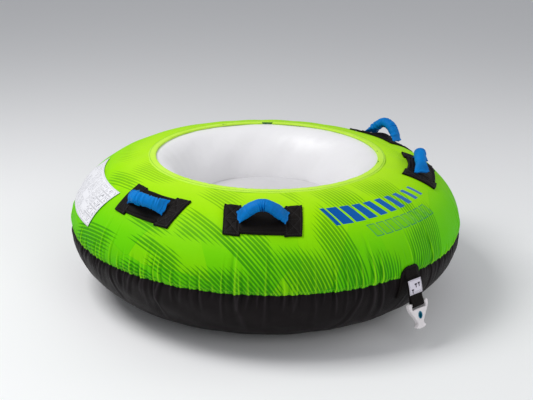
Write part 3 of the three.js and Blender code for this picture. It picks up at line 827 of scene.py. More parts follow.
def makeHem():
    azimuth = np.arange(hem["columns"]) / hem["columns"] * 2 * math.pi
    around = np.linspace(0, 2 * math.pi, 18, endpoint=False)
    fromNotch = np.abs((azimuth - hem["notch"] + math.pi) % (2 * math.pi) - math.pi) * tube["hemEdge"]
    pinch = 1 - 0.75 * np.exp(-((fromNotch / hem["notchWidth"]) ** 2))
    gather = ripples(azimuth, 60, 0, 0, 41) * 0.6 + ripples(azimuth, 140, 0, 0, 42) * 0.4
    crest = tube["seam"] + tube["rise"]
    middle = tube["hemEdge"] + hem["width"] / 2
    a, w = np.meshgrid(azimuth, around, indexing="ij")
    co, si = np.cos(w), np.sin(w)
    half = hem["width"] / 2 * (0.55 + 0.45 * pinch)[:, None]
    x = np.sign(co) * np.abs(co) ** 0.55 * half + (1 - pinch)[:, None] * 0.006
    # fatter where the cord runs
    roll = np.where(x < 0, 0.55 + 0.45 * np.abs(x) / half, 0.62 - 0.12 * x / half)
    z = np.sign(si) * np.abs(si) ** 0.8 * hem["thick"] * roll * (0.5 + 0.5 * pinch)[:, None]
    z = z * (1 + 0.10 * gather[:, None]) + gather[:, None] * 0.0004
    r = middle + x
    z = crest + 0.0012 + z - 7.0 * np.maximum(x, 0) ** 2
    points = np.stack([r * np.cos(a), r * np.sin(a), z], -1)
    turns, rolls = np.append(azimuth, 2 * math.pi) * 0.35, np.append(around, 2 * math.pi) * 0.008
    layer = np.stack(np.meshgrid(turns, rolls, indexing="ij"), -1)
    faces = gridFaces(hem["columns"], 18, True, True)
    band = meshPiece("hem_band", points, faces, finishes["hem"], {"cloth": gridLayer(layer)})
    install(band, "tube", "lime_hem", "hem_channel")
    out = np.tile(up, (hem["columns"], 1))
    r, z = middle + 0.0075, np.full_like(azimuth, crest + 0.0042)
    line = np.stack([r * np.cos(azimuth), r * np.sin(azimuth), z], -1)
    thread = threadRun("hem_thread_1", line, out, finishes["limeThread"], loop=True)
    install(thread, "tube", "lime_hem")


# ---- bladder and cockpit floor
bowl = {"columns": 300, "floorHeight": 0.249, "sag": 0.012, "weldWidth": 0.011}


def makeBladder():
    t = np.concatenate([np.linspace(-180, -60, 22), np.linspace(-54, 60, 20), np.linspace(66, 176, 40)])
    azimuth = np.arange(bowl["columns"]) / bowl["columns"] * 2 * math.pi
    a, tt = np.meshgrid(azimuth, t, indexing="ij")
    inset = 0.0025 + 0.009 * smooth(85 - np.abs(tt), 0, 12)
    flex = ripples(a, 9, tt, 0.06, 51) * 0.0012 + ripples(a, 26, tt, 0.11, 52) * 0.0005
    flex = flex * smooth(np.abs(tt), 80, 100)
    weld = np.abs(tt - 167.5)
    flex = flex - 0.0012 * np.exp(-((weld / 0.8) ** 2))
    r, z = section(tt, -inset + flex)
    points = np.stack([r * np.cos(a), r * np.sin(a), z], -1)
    faces = gridFaces(bowl["columns"], len(t), True, True)
    piece = meshPiece("inflated_bladder", points, faces, finishes["vinyl"])
    install(piece, "tube", "white_vinyl", "bladder_upper_half", "bladder_lower_half")


def makeFloor():
    above = (bowl["floorHeight"] - tube["seam"]) / tube["rise"]
    rim = section(180 - math.degrees(math.asin(above)), -0.0022)[0]
    azimuth = np.arange(bowl["columns"]) / bowl["columns"] * 2 * math.pi
    nearRim = np.array([-1, 1, 2, 3, 4.5, 6, 7.5, 9, 10.5, 12, 14]) * mm
    reach = np.concatenate([rim - nearRim, np.linspace(rim - 0.02, 0.012, 20)])
    a, r = np.meshgrid(azimuth, reach, indexing="ij")
    inward = rim - r
    dish = bowl["floorHeight"] - bowl["sag"] * (1 - (r / rim) ** 2)
    ridge = 0.0016 * hump(inward, bowl["weldWidth"], 0.0013) + 0.0020 * hump(inward, 0, 0.0016)
    ripple = ripples(a, 22, r, 60, 61) * 0.0009 * hump(inward, 0.016, 0.012)
    slack = waves(r * np.cos(a) * 14, r * np.sin(a) * 14, 62) * 0.0010
    top = np.stack([r * np.cos(a), r * np.sin(a), dish + ridge + ripple + slack], -1)
    count = len(reach)
    under = top.copy()
    under[..., 2] -= 0.0018
    faces = gridFaces(bowl["columns"], count, True)
    size = bowl["columns"] * count
    everything = [tuple(f) for f in faces] + [tuple(f[::-1] + size) for f in faces]
    first = [i * count for i in range(bowl["columns"])]
    last = [i * count + count - 1 for i in range(bowl["columns"])]
    for i in range(bowl["columns"]):
        j = (i + 1) % bowl["columns"]
        everything.append((first[i] + size, first[j] + size, first[j], first[i]))
    everything.append(tuple(last))
    everything.append(tuple(v + size for v in last[::-1]))
    points = np.concatenate([top.reshape(-1, 3), under.reshape(-1, 3)])
    # the floor takes the darker white vinyl, painted shade deep in the cockpit
    piece = meshPiece("vinyl_floor", points, everything, finishes["shadedFloorVinyl"])
    install(piece, "tube", "white_vinyl", "cockpit_floor", "floor_weld_band")


def sunk(x, y):
    # underside of a piece that is sewn down, just below the cover
    return 0 * x - 0.0012


# ---- grips
pad = {"length": 0.117, "width": 0.096, "patch": 0.049, "patchWidth": 0.109}


def gripFrame(name):
    azimuth = grips[name]["azimuth"]
    s = arcAt(grips[name]["section"])
    base = onTube(azimuth, s)
    out = onTube(azimuth, s, 1.0) - base
    round_ = np.array([-math.sin(azimuth), math.cos(azimuth), 0.0])
    return azimuth, s, base, round_, np.cross(out, round_), out


def makeKnucklePad(name):
    azimuth, s, *_ = gripFrame(name)
    seed = grips[name]["seed"]
    half, wide = pad["length"] / 2 + 0.004, pad["width"] / 2
    xs = np.linspace(-half, half, 30)
    welt, inside = np.linspace(wide - 0.014, wide, 9), np.linspace(-wide + 0.018, wide - 0.018, 17)
    ys = np.concatenate([-welt[::-1], inside, welt])

    def top(x, y):
        edge = smooth(wide - np.abs(y), -0.0005, 0.003)
        inward = wide - np.abs(y)
        piping = 0.0036 * hump(inward, 0.0058, 0.0034) - 0.0012 * hump(inward, 0.0125, 0.0022)
        slope = 1 - (y / wide) ** 2
        crown = 0.0016 * slope + waves(x * 70, y * 60, seed) * 0.0006
        raised = np.cos(np.clip(x / half, -1, 1) * math.pi / 2) ** 2 * slope**2
        crown = crown + grips[name]["bulge"] * mm * raised
        return 0.0006 + edge * (0.0022 + piping + crown * smooth(inward, 0.012, 0.03))

    def outline(x, y):
        return x, y * (1 + 0.012 * np.sin(x * 55 + seed)) + 0.0012 * np.sin(x * 34 + seed)

    def place(x, y, h):
        return onPatch(azimuth, s, x, y, h)

    piece = slab(name + "_knuckle_pad", xs, ys, place, top, sunk, finishes["pad"], outline)
    install(piece, "tube", "neoprene", name + "_handle_knuckle_pad")


def makePatch(name, end, side):
    azimuth, s, *_ = gripFrame(name)
    seed = grips[name]["seed"] + (5 if side > 0 else 0)
    middle = side * (pad["length"] / 2 + pad["patch"] / 2)
    wide, high = pad["patch"] / 2, pad["patchWidth"] / 2
    xs, ys = np.linspace(-wide, wide, 26), np.linspace(-high, high, 54)

    def sewn(x, y):
        # how near a point is to the sewn box and cross
        ax, ay = np.abs(x), np.abs(y)
        boxX, boxY = wide - 0.006, high - 0.006
        pastX, pastY = 10 * np.maximum(ax - boxX, 0), 10 * np.maximum(ay - boxY, 0)
        box = np.minimum(np.abs(ax - boxX) + pastY, np.abs(ay - boxY) + pastX)
        part = (y + boxY) % boxY - boxY / 2  # two crosses, one above the other
        cross = np.abs(ax * boxY / 2 - np.abs(part) * boxX) / math.hypot(boxX, boxY / 2) + pastX
        return np.minimum(np.minimum(box, cross), ay + pastX)

    def top(x, y):
        edge = smooth(np.minimum(wide - np.abs(x), high - np.abs(y)), -0.0006, 0.0022)
        quilt = 1 - np.exp(-((sewn(x, y) / 0.0032) ** 2))
        return 0.0004 + edge * (0.0026 + 0.0018 * quilt + waves(x * 90, y * 80, seed) * 0.0005)

    def outline(x, y):
        round_ = 0.0009 * (np.abs(x) / wide) ** 6 * (np.abs(y) / high) ** 6
        x2 = x - np.sign(x) * round_ + 0.0008 * np.sin(y * 60 + seed)
        return x2, y - np.sign(y) * round_ + 0.0009 * np.sin(x * 90 + seed)

    def place(x, y, h):
        return onPatch(azimuth, s, x + middle, y, h)

    piece = slab(f"{name}_patch_{end}", xs, ys, place, top, sunk, finishes["pad"], outline)
    install(piece, "tube", "webbing", f"{name}_handle_patch_{end}")
    boxX, boxY = wide - 0.006, high - 0.006
    runs = [[(-boxX, -boxY), (boxX, -boxY), (boxX, boxY), (-boxX, boxY), (-boxX, -boxY)]]
    runs += [[(-boxX, -boxY), (boxX, 0), (-boxX, boxY)], [(boxX, -boxY), (-boxX, 0), (boxX, boxY)]]
    runs += [[(-boxX, 0), (boxX, 0)]]
    for number, run in enumerate(runs):
        line = []
        for (x0, y0), (x1, y1) in zip(run, run[1:]):
            k = np.linspace(0, 1, 24)[:, None]
            line.append(np.array([[x0, y0]]) * (1 - k) + np.array([[x1, y1]]) * k)
        x, y = np.concatenate(line).T
        points = place(x, y, top(x, y) + 0.0003)
        out = place(x, y, 1.0) - place(x, y, 0.0)
        thread = threadRun(f"{name}_patch_{end}_thread_{number + 1}", points, out, finishes["blackThread"])
        install(thread, "tube", "webbing")


sleeve = {
    "middle": (0.0172, 0.0150),  # half width and half depth
    "ends": (0.0250, 0.0032),
    "halfLength": 0.0655,
    "foot": 0.0095,  # height of its ends over the cover
    "rings": 230,
    "sides": 44,
}


def gripLine(name, k):
    # middle line of the grip, k from -1 to 1, and the directions across it and out of it
    g = grips[name]
    azimuth, s, base, around, slope, out = gripFrame(name)
    e = g["round"]
    fall = (np.sqrt(k * k + e * e) - e) / (math.sqrt(1 + e * e) - e)
    rise = g["rise"] * mm * (1 - fall) - (0.014 - sleeve["foot"]) * fall
    x = sleeve["halfLength"] * np.sign(k) * np.abs(k) ** (1 - 0.12 * e)
    lean = math.radians(g["lean"])
    r = float(section(g["section"])[0])
    inward = x * x / 2 / r  # how far the round tube has curved away under the grip's ends
    flat = math.hypot(out[0], out[1])
    y = rise * math.sin(lean) + inward * out[2] + g["slide"] * mm
    h = 0.014 + rise * math.cos(lean) - inward * flat
    points = base + x[:, None] * around + y[:, None] * slope + h[:, None] * out
    tangent = np.gradient(points, axis=0)
    tangent /= np.linalg.norm(tangent, axis=1, keepdims=True)
    turned = slope * math.cos(lean) - out * math.sin(lean)
    settle = smooth(np.abs(k), 0.45, 0.95)[:, None]
    leanSide = turned * (1 - settle) + slope * settle
    across = leanSide - np.sum(tangent * leanSide, axis=1, keepdims=True) * tangent
    across /= np.linalg.norm(across, axis=1, keepdims=True)
    return points, tangent, across, np.cross(tangent, across)


def crumples(g, kk, vv):
    # folds across the grip, deepest on the inside of its bend
    r = np.random.default_rng(g["seed"])
    total = np.zeros_like(kk)
    for _ in range(30):
        at, wide = r.uniform(-0.92, 0.92), r.uniform(0.018, 0.045)
        turn, span = r.uniform(-0.5, 0.5), r.uniform(0.5, 1.4)
        centre = r.choice([math.pi, math.pi * 1.4, 0.0, math.pi * 0.5]) + r.uniform(-0.7, 0.7)
        reach = np.exp(-((((vv - centre + math.pi) % (2 * math.pi) - math.pi) / span) ** 2))
        x = (kk - at - turn * 0.06 * np.sin(vv)) / wide
        total += r.uniform(0.4, 1.0) * reach * (-np.exp(-x * x) + 0.6 * np.exp(-((np.abs(x) - 1.6) ** 2)))
    total *= g["bunch"] * 0.0024
    # creases fanning out from the inside of the bend
    fan = [(-0.055, -0.10, 0.0052), (0.0, 0.0, 0.0058), (0.085, 0.13, 0.0044), (-0.14, -0.2, 0.0026)]
    for at, turn, depth in fan:
        under = np.exp(-((((vv - math.pi * 1.15 + math.pi) % (2 * math.pi) - math.pi) / 1.35) ** 2))
        x = (kk - at - turn * np.cos(vv) * 0.3) / 0.018
        total += under * depth * (-np.exp(-x * x) + 0.5 * np.exp(-((np.abs(x) - 1.7) ** 2)))
    return total


settle = {"pressure": 4.0, "frames": 20, "most": 0.0022}


def settleCloth(piece, held):
    # the padding pushes its cover out for a moment, with the sewn places held; short moves only
    before = np.array([v.co[:] for v in piece.data.vertices])
    group = piece.vertex_groups.new(name="sewn")
    group.add([int(i) for i in np.flatnonzero(held)], 1.0, "REPLACE")
    cloth = piece.modifiers.new("settle", "CLOTH")
    cloth.settings.use_pressure = True
    cloth.settings.uniform_pressure_force = settle["pressure"]
    cloth.settings.effector_weights.gravity = 0
    cloth.settings.vertex_group_mass = "sewn"
    cloth.collision_settings.use_collision = False
    cloth.point_cache.frame_end = settle["frames"]
    for step in range(1, settle["frames"] + 1):
        bpy.context.scene.frame_set(step)
    shape = piece.evaluated_get(bpy.context.evaluated_depsgraph_get())
    after = np.array([v.co[:] for v in shape.data.vertices])
    piece.modifiers.remove(cloth)
    piece.vertex_groups.remove(group)
    bpy.context.scene.frame_set(1)
    move = after - before
    far = np.linalg.norm(move, axis=1, keepdims=True)
    move *= np.minimum(1, settle["most"] / np.maximum(far, 1e-9))
    piece.data.vertices.foreach_set("co", (before + move).ravel())
    piece.data.update()
    print("settled", piece.name, "furthest", round(float(far.max()) * 1000, 2), "mm")


def makeSleeve(name):
    g = grips[name]
    k = np.linspace(-1, 1, sleeve["rings"])
    points, tangent, across, normal = gripLine(name, k)
    inner = 1 - np.abs(k)
    half = sleeve["ends"][0] + (sleeve["middle"][0] - sleeve["ends"][0]) * smooth(inner, 0.0, g["flare"])
    deep = sleeve["ends"][1] + (sleeve["middle"][1] - sleeve["ends"][1]) * smooth(inner, 0.0, 0.42)
    hemmed = 0.0011 * hump(inner, 0.012, 0.02) - 0.0009 * hump(inner, 0.075, 0.022)
    v = np.linspace(0, 2 * math.pi, sleeve["sides"], endpoint=False)
    kk, vv = np.meshgrid(k, v, indexing="ij")
    c, q = np.cos(vv), np.sin(vv)
    crumple = crumples(g, kk, vv) + waves(kk * 16, vv * 2, g["seed"] + 1) * 0.0005 + hemmed[:, None]
    w = half[:, None] + crumple
    d = deep[:, None] + crumple * np.minimum(1, deep[:, None] / 0.010)
    flatness = smooth(inner, 0.0, 0.35)[:, None]
    px = np.sign(c) * np.abs(c) ** (0.62 + 0.3 * flatness) * w
    py = np.sign(q) * np.abs(q) ** 0.9 * d
    skew = smooth(np.abs(kk), 0.72, 1.0) * 0.0055 * np.sign(kk) * (c + 0.25 * np.sin(c * 7 + g["seed"]))
    grid = points[:, None] + across[:, None] * px[..., None] + normal[:, None] * py[..., None]
    grid = grid + tangent[:, None] * skew[..., None]
    # the cloth turns in at each end, so that the sleeve reads as an open tube
    ring = grid[[0, -1]]
    middle = ring.mean(axis=1, keepdims=True)
    inward = np.stack([tangent[0], -tangent[-1]])[:, None]
    lips = [ring * 0.88 + middle * 0.12 + inward * 0.0004, ring * 0.80 + middle * 0.20 + inward * 0.006]
    rows = np.concatenate([lips[1][:1], lips[0][:1], grid, lips[0][1:], lips[1][1:]])
    walk = np.concatenate([[k[0], k[0]], k, [k[-1], k[-1]]])
    count = len(v)
    faces = [tuple(f) for f in gridFaces(len(rows), count, False, True)]
    faces += [tuple(range(count))[::-1], tuple((len(rows) - 1) * count + i for i in range(count))]
    coords = []
    for f in faces:
        coords += [(walk[p // count] * 0.07, (p % count) / count * 0.1) for p in f]
    piece = meshPiece(name + "_sleeve", rows, faces, finishes["blue"], {"cloth": coords})
    settleCloth(piece, np.repeat((np.abs(walk) > 0.86), count))
    _, _, base, _, _, out = gripFrame(name)
    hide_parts(name + "_handle_sleeve", name + "_handle_foam_core", name + "_handle_strap")
    low, high = base + out * 0.012, base + out * 0.034
    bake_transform(piece)


# ---- tow point
tow = {"patchHalf": 0.037, "patchTop": 0.029, "patchLow": -0.066, "strapHalf": 0.025}
hangJoint, swingJoint = joints["tow_loop_swing"], joints["tow_connector_swing"]
hang, bar = np.array(hangJoint["pos_m"]), np.array(swingJoint["pos_m"])
hangDown = (bar - hang) / np.linalg.norm(bar - hang)
hangOut = np.array([-hangDown[2], 0.0, hangDown[0]])
hangSide = np.array([0.0, 1.0, 0.0])
hangLength = float(np.linalg.norm(bar - hang))


def makeTowPatch():
    xs, ys = np.linspace(-1, 1, 34), np.linspace(tow["patchLow"], tow["patchTop"], 56)

    def shape(y):
        # half width and sideways drift, the top being rounded and a little askew
        rise = np.clip(y / tow["patchTop"], 0, 1)
        return tow["patchHalf"] * np.sqrt(1 - 0.80 * rise**2.6), 0.004 * rise**2

    def outline(x, y):
        half, drift = shape(y)
        return x * half + drift, y + 0.0006 * np.sin(x * 9)

    def top(x, y):
        half, drift = shape(y)
        gap = np.minimum(half - np.abs(x - drift), tow["patchTop"] - y)
        edge = smooth(gap, -0.0006, 0.0022)
        sewn = np.exp(-(((gap - 0.005) / 0.0014) ** 2))
        return 0.0004 + edge * (0.0026 - 0.0009 * sewn + waves(x * 110, y * 90, 71) * 0.0005)

    def place(x, y, h):
        return onPatch(0.0, 0.0, x, y, h)

    patch = slab("tow_patch_cloth", xs, ys, place, top, sunk, finishes["pad"], outline)
    install(patch, "tube", "webbing", "tow_patch")
    # the sewn-down strap, whose lower end turns out into the loop
    count = 30
    s = np.linspace(0.020, -0.004, count)
    lift = 0.0012 + 0.0065 * smooth(-s, -0.012, 0.004)
    centre = onTube(0 * s, s, lift + 0.0016)
    tangent = np.gradient(centre, axis=0)
    tangent /= np.linalg.norm(tangent, axis=1, keepdims=True)
    side = np.tile(hangSide, (count, 1))
    flat = webbingOutline(tow["strapHalf"], 0.0016)
    normal = np.cross(side, tangent)
    strap = sweep("tow_strap_webbing", centre, side, normal, lambda k: flat, finishes["webbing"])
    install(strap, "tube", "webbing", "tow_strap")


def webbingOutline(half, thick):
    # flat strap's section with soft edges
    points = []
    for x in np.linspace(-half, half, 14):
        points.append((x, thick * (1 - (abs(x) / half) ** 12) ** 0.5))
    for x in np.linspace(half, -half, 14)[1:-1]:
        points.append((x, -thick * (1 - (abs(x) / half) ** 12) ** 0.5))
    return points


def makeTowLoop():
    barRadius, thick = 0.0050, 0.0015
    swell = barRadius + thick
    down, outs = [], []
    for d in np.linspace(0.001, hangLength - 0.024, 16):
        down.append(d)
        outs.append(0.0019)
    for k in np.linspace(0, 1, 10)[1:]:
        down.append(hangLength - 0.024 + 0.024 * k)
        outs.append(0.0019 + (swell - 0.0019) * smooth(k, 0.1, 1.0))
    for angle in np.linspace(0, math.pi, 14)[1:-1]:
        down.append(hangLength + swell * math.sin(angle))
        outs.append(swell * math.cos(angle))
    path = list(zip(down, outs))
    back = [(d, -o) for d, o in path[:25]][::-1]
    path = np.array(path + back)
    centre = hang + path[:, :1] * hangDown + path[:, 1:] * hangOut
    tangent = np.gradient(centre, axis=0)
    tangent /= np.linalg.norm(tangent, axis=1, keepdims=True)
    side = np.tile(hangSide, (len(path), 1))
    normal = np.cross(side, tangent)

    def outline(k):
        bow = 1 - 0.05 * math.exp(-(((path[k, 0] - hangLength) / 0.012) ** 2))
        return webbingOutline(tow["strapHalf"] * bow, thick)

    loop = sweep("tow_loop_webbing", centre, side, normal, outline, finishes["webbing"])
    install(loop, "tow_loop", "webbing", "tow_loop")

    wide, high = 0.0255, 0.0205
    labelAt = hang + hangDown * 0.0255

    def place(x, y, h):
        bend = 0.0006 * np.sin(x * 120) + 0.0005 * np.cos(y * 150)
        x, y, out = x[..., None], y[..., None], (0.0046 + h + bend)[..., None]
        return labelAt + x * hangSide - y * hangDown + out * hangOut

    xs, ys = np.linspace(-wide, wide, 22), np.linspace(-high, high, 18)
    def film(x, y):
        return 0 * x + 0.0005

    label = slab("tow_label_cloth", xs, ys, place, film, lambda x, y: 0 * x, makeTowLabel())
    install(label, "tow_loop", "label_film", "tow_label")
    inset = 0.0022
    line = boxLine(wide - inset, high - inset, 20)
    points = place(line[:, 0], line[:, 1], 0 * line[:, 0] + 0.0008)
    out = np.tile(hangOut, (len(points), 1))
    thread = threadRun("tow_label_thread", points, out, finishes["blackThread"], length=0.0022)
    install(thread, "tow_loop", "webbing")


connector = {"half": 0.0078, "edge": 0.0026}


def roundOff(points, rounds=3):
    # cuts the corners of a closed outline until it runs smoothly
    points = np.asarray(points, float)
    for _ in range(rounds):
        after = np.roll(points, -1, axis=0)
        points = np.stack([points * 0.75 + after * 0.25, points * 0.25 + after * 0.75], 1).reshape(-1, 2)
    return points


def makeConnector():
    # one side in mm from the bar's middle: arm, shoulder, waist and foot
    half = [(14, -11.5), (27.5, -13), (27.2, -8), (27.2, -1), (27.6, 4), (30.5, 7.5), (35, 7.5)]
    half += [(38.5, 3), (38.3, -4), (35.5, -13), (28, -25), (19, -38), (13, -48), (11.5, -53)]
    half += [(12.5, -57), (16.5, -60.5), (18.5, -64), (15, -67.5), (7, -69)]
    outline = roundOff(np.array(half + [(-y, z) for y, z in half][::-1]) * mm)
    angle = np.linspace(0, 2 * math.pi, 40, endpoint=False)
    eye = np.stack([6.9 * mm * np.cos(angle), (-31 + 9.9 * np.sin(angle)) * mm], -1)
    curve = bpy.data.curves.new("connector_outline", "CURVE")
    curve.dimensions = "2D"
    curve.fill_mode = "BOTH"
    curve.extrude = connector["half"] - connector["edge"]
    curve.bevel_depth = connector["edge"]
    curve.bevel_resolution = 3
    curve.offset = -connector["edge"]
    for ring in (outline, eye):
        spline = curve.splines.new("POLY")
        spline.points.add(len(ring) - 1)
        four = np.column_stack([ring, np.zeros(len(ring)), np.ones(len(ring))])
        spline.points.foreach_set("co", four.ravel())
        spline.use_cyclic_u = True
    shape = bpy.data.objects.new("connector_outline", curve)
    bpy.context.collection.objects.link(shape)
    bpy.context.view_layer.update()
    mesh = bpy.data.meshes.new_from_object(shape.evaluated_get(bpy.context.evaluated_depsgraph_get()))
    bpy.data.objects.remove(shape)
    body = bpy.data.objects.new("rope_connector", mesh)
    bpy.context.collection.objects.link(body)
    turn = Matrix([[*row] for row in np.column_stack([hangSide, -hangDown, hangOut])]).to_4x4()
    turn.translation = Vector(bar)
    mesh.transform(turn)
    mesh.materials.clear()
    mesh.materials.append(finishes["white"])
    mesh.polygons.foreach_set("use_smooth", [True] * len(mesh.polygons))
    weld = body.modifiers.new("weld", "WELD")
    weld.merge_threshold = 0.00003
    install(body, "tow_connector", "white_plastic", "quick_connector")
    # the bar that the loop goes round, with a swelling where it meets each arm
    k = np.linspace(-1, 1, 33)
    centre = bar + (k * 0.0295)[:, None] * hangSide
    swell = 0.0046 + 0.0016 * smooth(np.abs(k), 0.88, 1.0)
    ring = np.linspace(0, 2 * math.pi, 20, endpoint=False)
    across, normal = np.tile(hangOut, (33, 1)), np.tile(-hangDown, (33, 1))
    around = np.stack([np.cos(ring), np.sin(ring)], -1)
    rod = sweep("connector_bar", centre, across, normal, lambda i: swell[i] * around, finishes["white"])
    install(rod, "tow_connector", "white_plastic")
    # the liner, a ring with a rolled lip on each side
    lip = [(-8.4, 0), (-8.8, 1.0), (-8.0, 1.7), (8.0, 1.7), (8.8, 1.0), (8.4, 0), (7.0, -0.3), (-7.0, -0.3)]
    lip = np.array(lip) * mm
    angle = np.linspace(0, 2 * math.pi, 48, endpoint=False)
    rim = np.stack([5.9 * mm * np.cos(angle), 8.9 * mm * np.sin(angle)], -1)
    middle = bar + 0.031 * hangDown
    centre = middle + rim[:, :1] * hangSide - rim[:, 1:] * hangDown
    outward = centre - middle
    outward /= np.linalg.norm(outward, axis=1, keepdims=True)
    across = np.tile(hangOut, (48, 1))
    liner = sweep("connector_liner", centre, across, outward, lambda i: lip, finishes["teal"], closed=True)
    install(liner, "tow_connector", "teal_plastic", "connector_eye_liner")


# ---- care label, zip and valve
def makeCareLabelPiece():
    azimuth, s = math.radians(careLabel["azimuth"]), arcAt(careLabel["section"])
    wide, high = careLabel["width"] / 2, careLabel["height"] / 2
    xs, ys = np.linspace(-wide, wide, 70), np.linspace(-high, high, 30)

    def top(x, y):
        edge = np.minimum(wide - np.abs(x), high - np.abs(y))
        puckered = 0.0003 * np.sin(x * 400) * smooth(0.004 - edge, 0, 0.004)
        return 0.0013 + waves(x * 45, y * 50, 81) * 0.0006 + puckered

    def bottom(x, y):
        return top(x, y) - 0.0005

    def place(x, y, h):
        return onPatch(azimuth, s, x, y, h)

    film = makeCareLabel("careLabelFilm", careLabel["width"], careLabel["height"])
    piece = slab("care_label_cloth", xs, ys, place, top, bottom, film)
    install(piece, "tube", "label_film", "care_label")
    inset = 0.004
    x, y = boxLine(wide - inset, high - inset, 60).T
    points = place(x, y, top(x, y) + 0.0002)
    out = place(x, y, 1.0) - place(x, y, 0.0)
    thread = threadRun("care_label_thread", points, out, finishes["paleThread"])
    install(thread, "tube", "label_film")


zipper = {"section": -35.0, "half": math.radians(33), "tape": 0.034, "pitch": 0.0032}


def makeZip():
    s = arcAt(zipper["section"])
    r = float(section(zipper["section"])[0])
    half = zipper["half"] * r + 0.015
    xs = np.linspace(-half, half, 260)
    ys = np.concatenate([np.linspace(-0.017, -0.004, 7), [-0.0025, 0.0025], np.linspace(0.004, 0.017, 7)])

    def top(x, y):
        edge = smooth(0.017 - np.abs(y), -0.0005, 0.0015)
        return 0.0008 + edge * (0.0012 + waves(x * 60, y * 70, 91) * 0.0004)

    def place(x, y, h):
        return onPatch(math.pi, s, x, y, h)

    tape = slab("zip_tape_cloth", xs, ys, place, top, sunk, finishes["webbing"])
    install(tape, "tube", "zip_tape", "zip_tape")
    count = int(2 * zipper["half"] * r / zipper["pitch"])
    azimuth = math.pi + np.linspace(-zipper["half"], zipper["half"], count)
    verts, faces = [], []
    for i, a in enumerate(azimuth):
        side = 0.0011 if i % 2 else -0.0011
        for x, y, h in toothShape * [0.0011, 0.0024, 0.0011] + [0, side, 0.0026]:
            verts.append(onPatch(a, s, x, y, h))
        faces += [tuple(8 * i + v for v in f) for f in toothFaces]
    teeth = meshPiece("zip_teeth", verts, faces, finishes["blackPlastic"])
    bevel = teeth.modifiers.new("soft", "BEVEL")
    bevel.width, bevel.segments = 0.0004, 2
    install(teeth, "tube", "black_plastic", "zip_chain")
    x = np.linspace(-half, half, 300)
    for row, y in enumerate((0 * x - 0.0135, 0 * x + 0.0135)):
        points = place(x, y, top(x, y) + 0.0002)
        out = place(x, y, 1.0) - place(x, y, 0.0)
        thread = threadRun(f"zip_thread_{row + 1}", points, out, finishes["blackThread"])
        install(thread, "tube", "zip_tape")


square = np.array([(-1, -1), (1, -1), (1, 1), (-1, 1)])
toothShape = np.column_stack([np.vstack([square, square * 0.8]), np.repeat([-1, 1], 4)])
toothFaces = [(0, 3, 2, 1), (4, 5, 6, 7), (0, 1, 5, 4), (1, 2, 6, 5), (2, 3, 7, 6), (3, 0, 4, 7)]

keptNodes = {
    "hem_drawcord": "cord",
    "valve_base": "valve",
    "valve_leash_ring": "valve",
    "valve_cap": "valve",
    "valve_seat": "blackPlastic",
    "valve_flap": "silicone",
    "zip_slider": "blackPlastic",
    "zip_pull": "blackPlastic",
    "zip_stop_start": "blackPlastic",
    "zip_stop_end": "blackPlastic",
}


def finishKeptNodes():
    for node, finish in keptNodes.items():
        obj = frame["nodes"][node]
        obj.data.materials.clear()
        obj.data.materials.append(finishes[finish])
        if node != "hem_drawcord":
            bevel = obj.modifiers.new("moulded", "BEVEL")
            bevel.width, bevel.segments, bevel.limit_method = 0.0005, 2, "ANGLE"
            bevel.angle_limit = math.radians(35)


makeCover()
print("cover made")
makeHem()
makeBladder()
makeFloor()
for name in grips:
    makeKnucklePad(name)
    makePatch(name, "a", -1)
    makePatch(name, "b", 1)
    makeSleeve(name)
print("grips made")
makeTowPatch()
makeTowLoop()
makeConnector()
makeCareLabelPiece()
makeZip()
finishKeptNodes()
print("small pieces made")

# ---- studio
studio = {"floor": (0.93, 0.93, 0.93), "key": 66.0, "fill": 20.0, "side": 16.0, "world": 0.40}


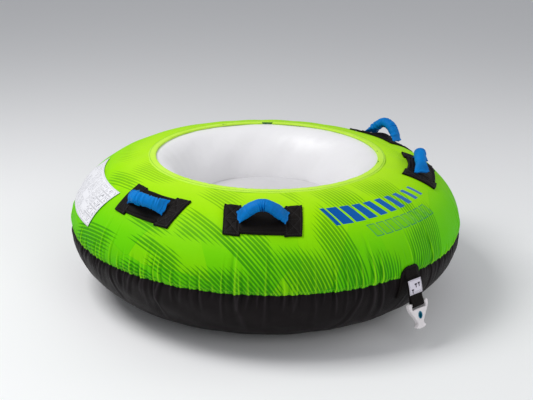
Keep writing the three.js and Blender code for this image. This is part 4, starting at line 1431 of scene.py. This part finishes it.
def makeStudio():
    f = Finish("studioFloor", Roughness=0.75, Specular_IOR_Level=0.2)
    f.shader.inputs["Base Color"].default_value = (*studio["floor"], 1)
    corners = [(-14, -14, -0.0006), (14, -14, -0.0006), (14, 14, -0.0006), (-14, 14, -0.0006)]
    floor = meshPiece("studio_floor", corners, [(0, 1, 2, 3)], f.material)
    world = bpy.data.worlds.new("studio")
    world.use_nodes = True
    world.node_tree.nodes["Background"].inputs["Color"].default_value = (0.93, 0.95, 1.0, 1)
    world.node_tree.nodes["Background"].inputs["Strength"].default_value = studio["world"]
    bpy.context.scene.world = world
    towCamera = Matrix.Rotation(tube["towSide"], 3, "Z")
    lamps = [
        ("key", (0.5, -1.7, 2.9), 1.5, studio["key"]),
        ("fill", (3.0, 1.4, 1.7), 2.0, studio["fill"]),
        ("side", (-0.4, 3.0, 1.6), 1.6, studio["side"]),
    ]
    for name, spot, size, power in lamps:
        light = bpy.data.lights.new(name, "AREA")
        light.energy, light.size, light.shape = power, size, "SQUARE"
        obj = bpy.data.objects.new(name, light)
        bpy.context.collection.objects.link(obj)
        obj.location = towCamera @ Vector(spot)
        obj.rotation_euler = (Vector((0, 0, 0.2)) - obj.location).to_track_quat("-Z", "Y").to_euler()


camera = {"distance": 3.196, "elevation": 20.82, "roll": 0.82, "lens": 67.54, "shift": (0.0009, 0.0265)}


def makeCamera():
    azimuth, elevation = tube["towSide"], math.radians(camera["elevation"])
    target = Vector((0, 0, tube["seam"]))
    away = Vector((math.cos(azimuth), math.sin(azimuth), 0)) * math.cos(elevation)
    away.z = math.sin(elevation)
    right = Vector((-math.sin(azimuth), math.cos(azimuth), 0))
    above = away.cross(right)
    roll = math.radians(camera["roll"])
    x = right * math.cos(roll) + above * math.sin(roll)
    y = above * math.cos(roll) - right * math.sin(roll)
    data = bpy.data.cameras.new("camera")
    data.lens, data.sensor_width = camera["lens"], 36.0
    data.shift_x, data.shift_y = camera["shift"]
    obj = bpy.data.objects.new("camera", data)
    bpy.context.collection.objects.link(obj)
    turn = Matrix((x, y, away)).transposed().to_4x4()
    turn.translation = target + away * camera["distance"]
    obj.matrix_world = turn
    bpy.context.scene.camera = obj


makeStudio()
makeCamera()
bpy.context.scene.view_settings.view_transform = "Standard"

print("scene done")
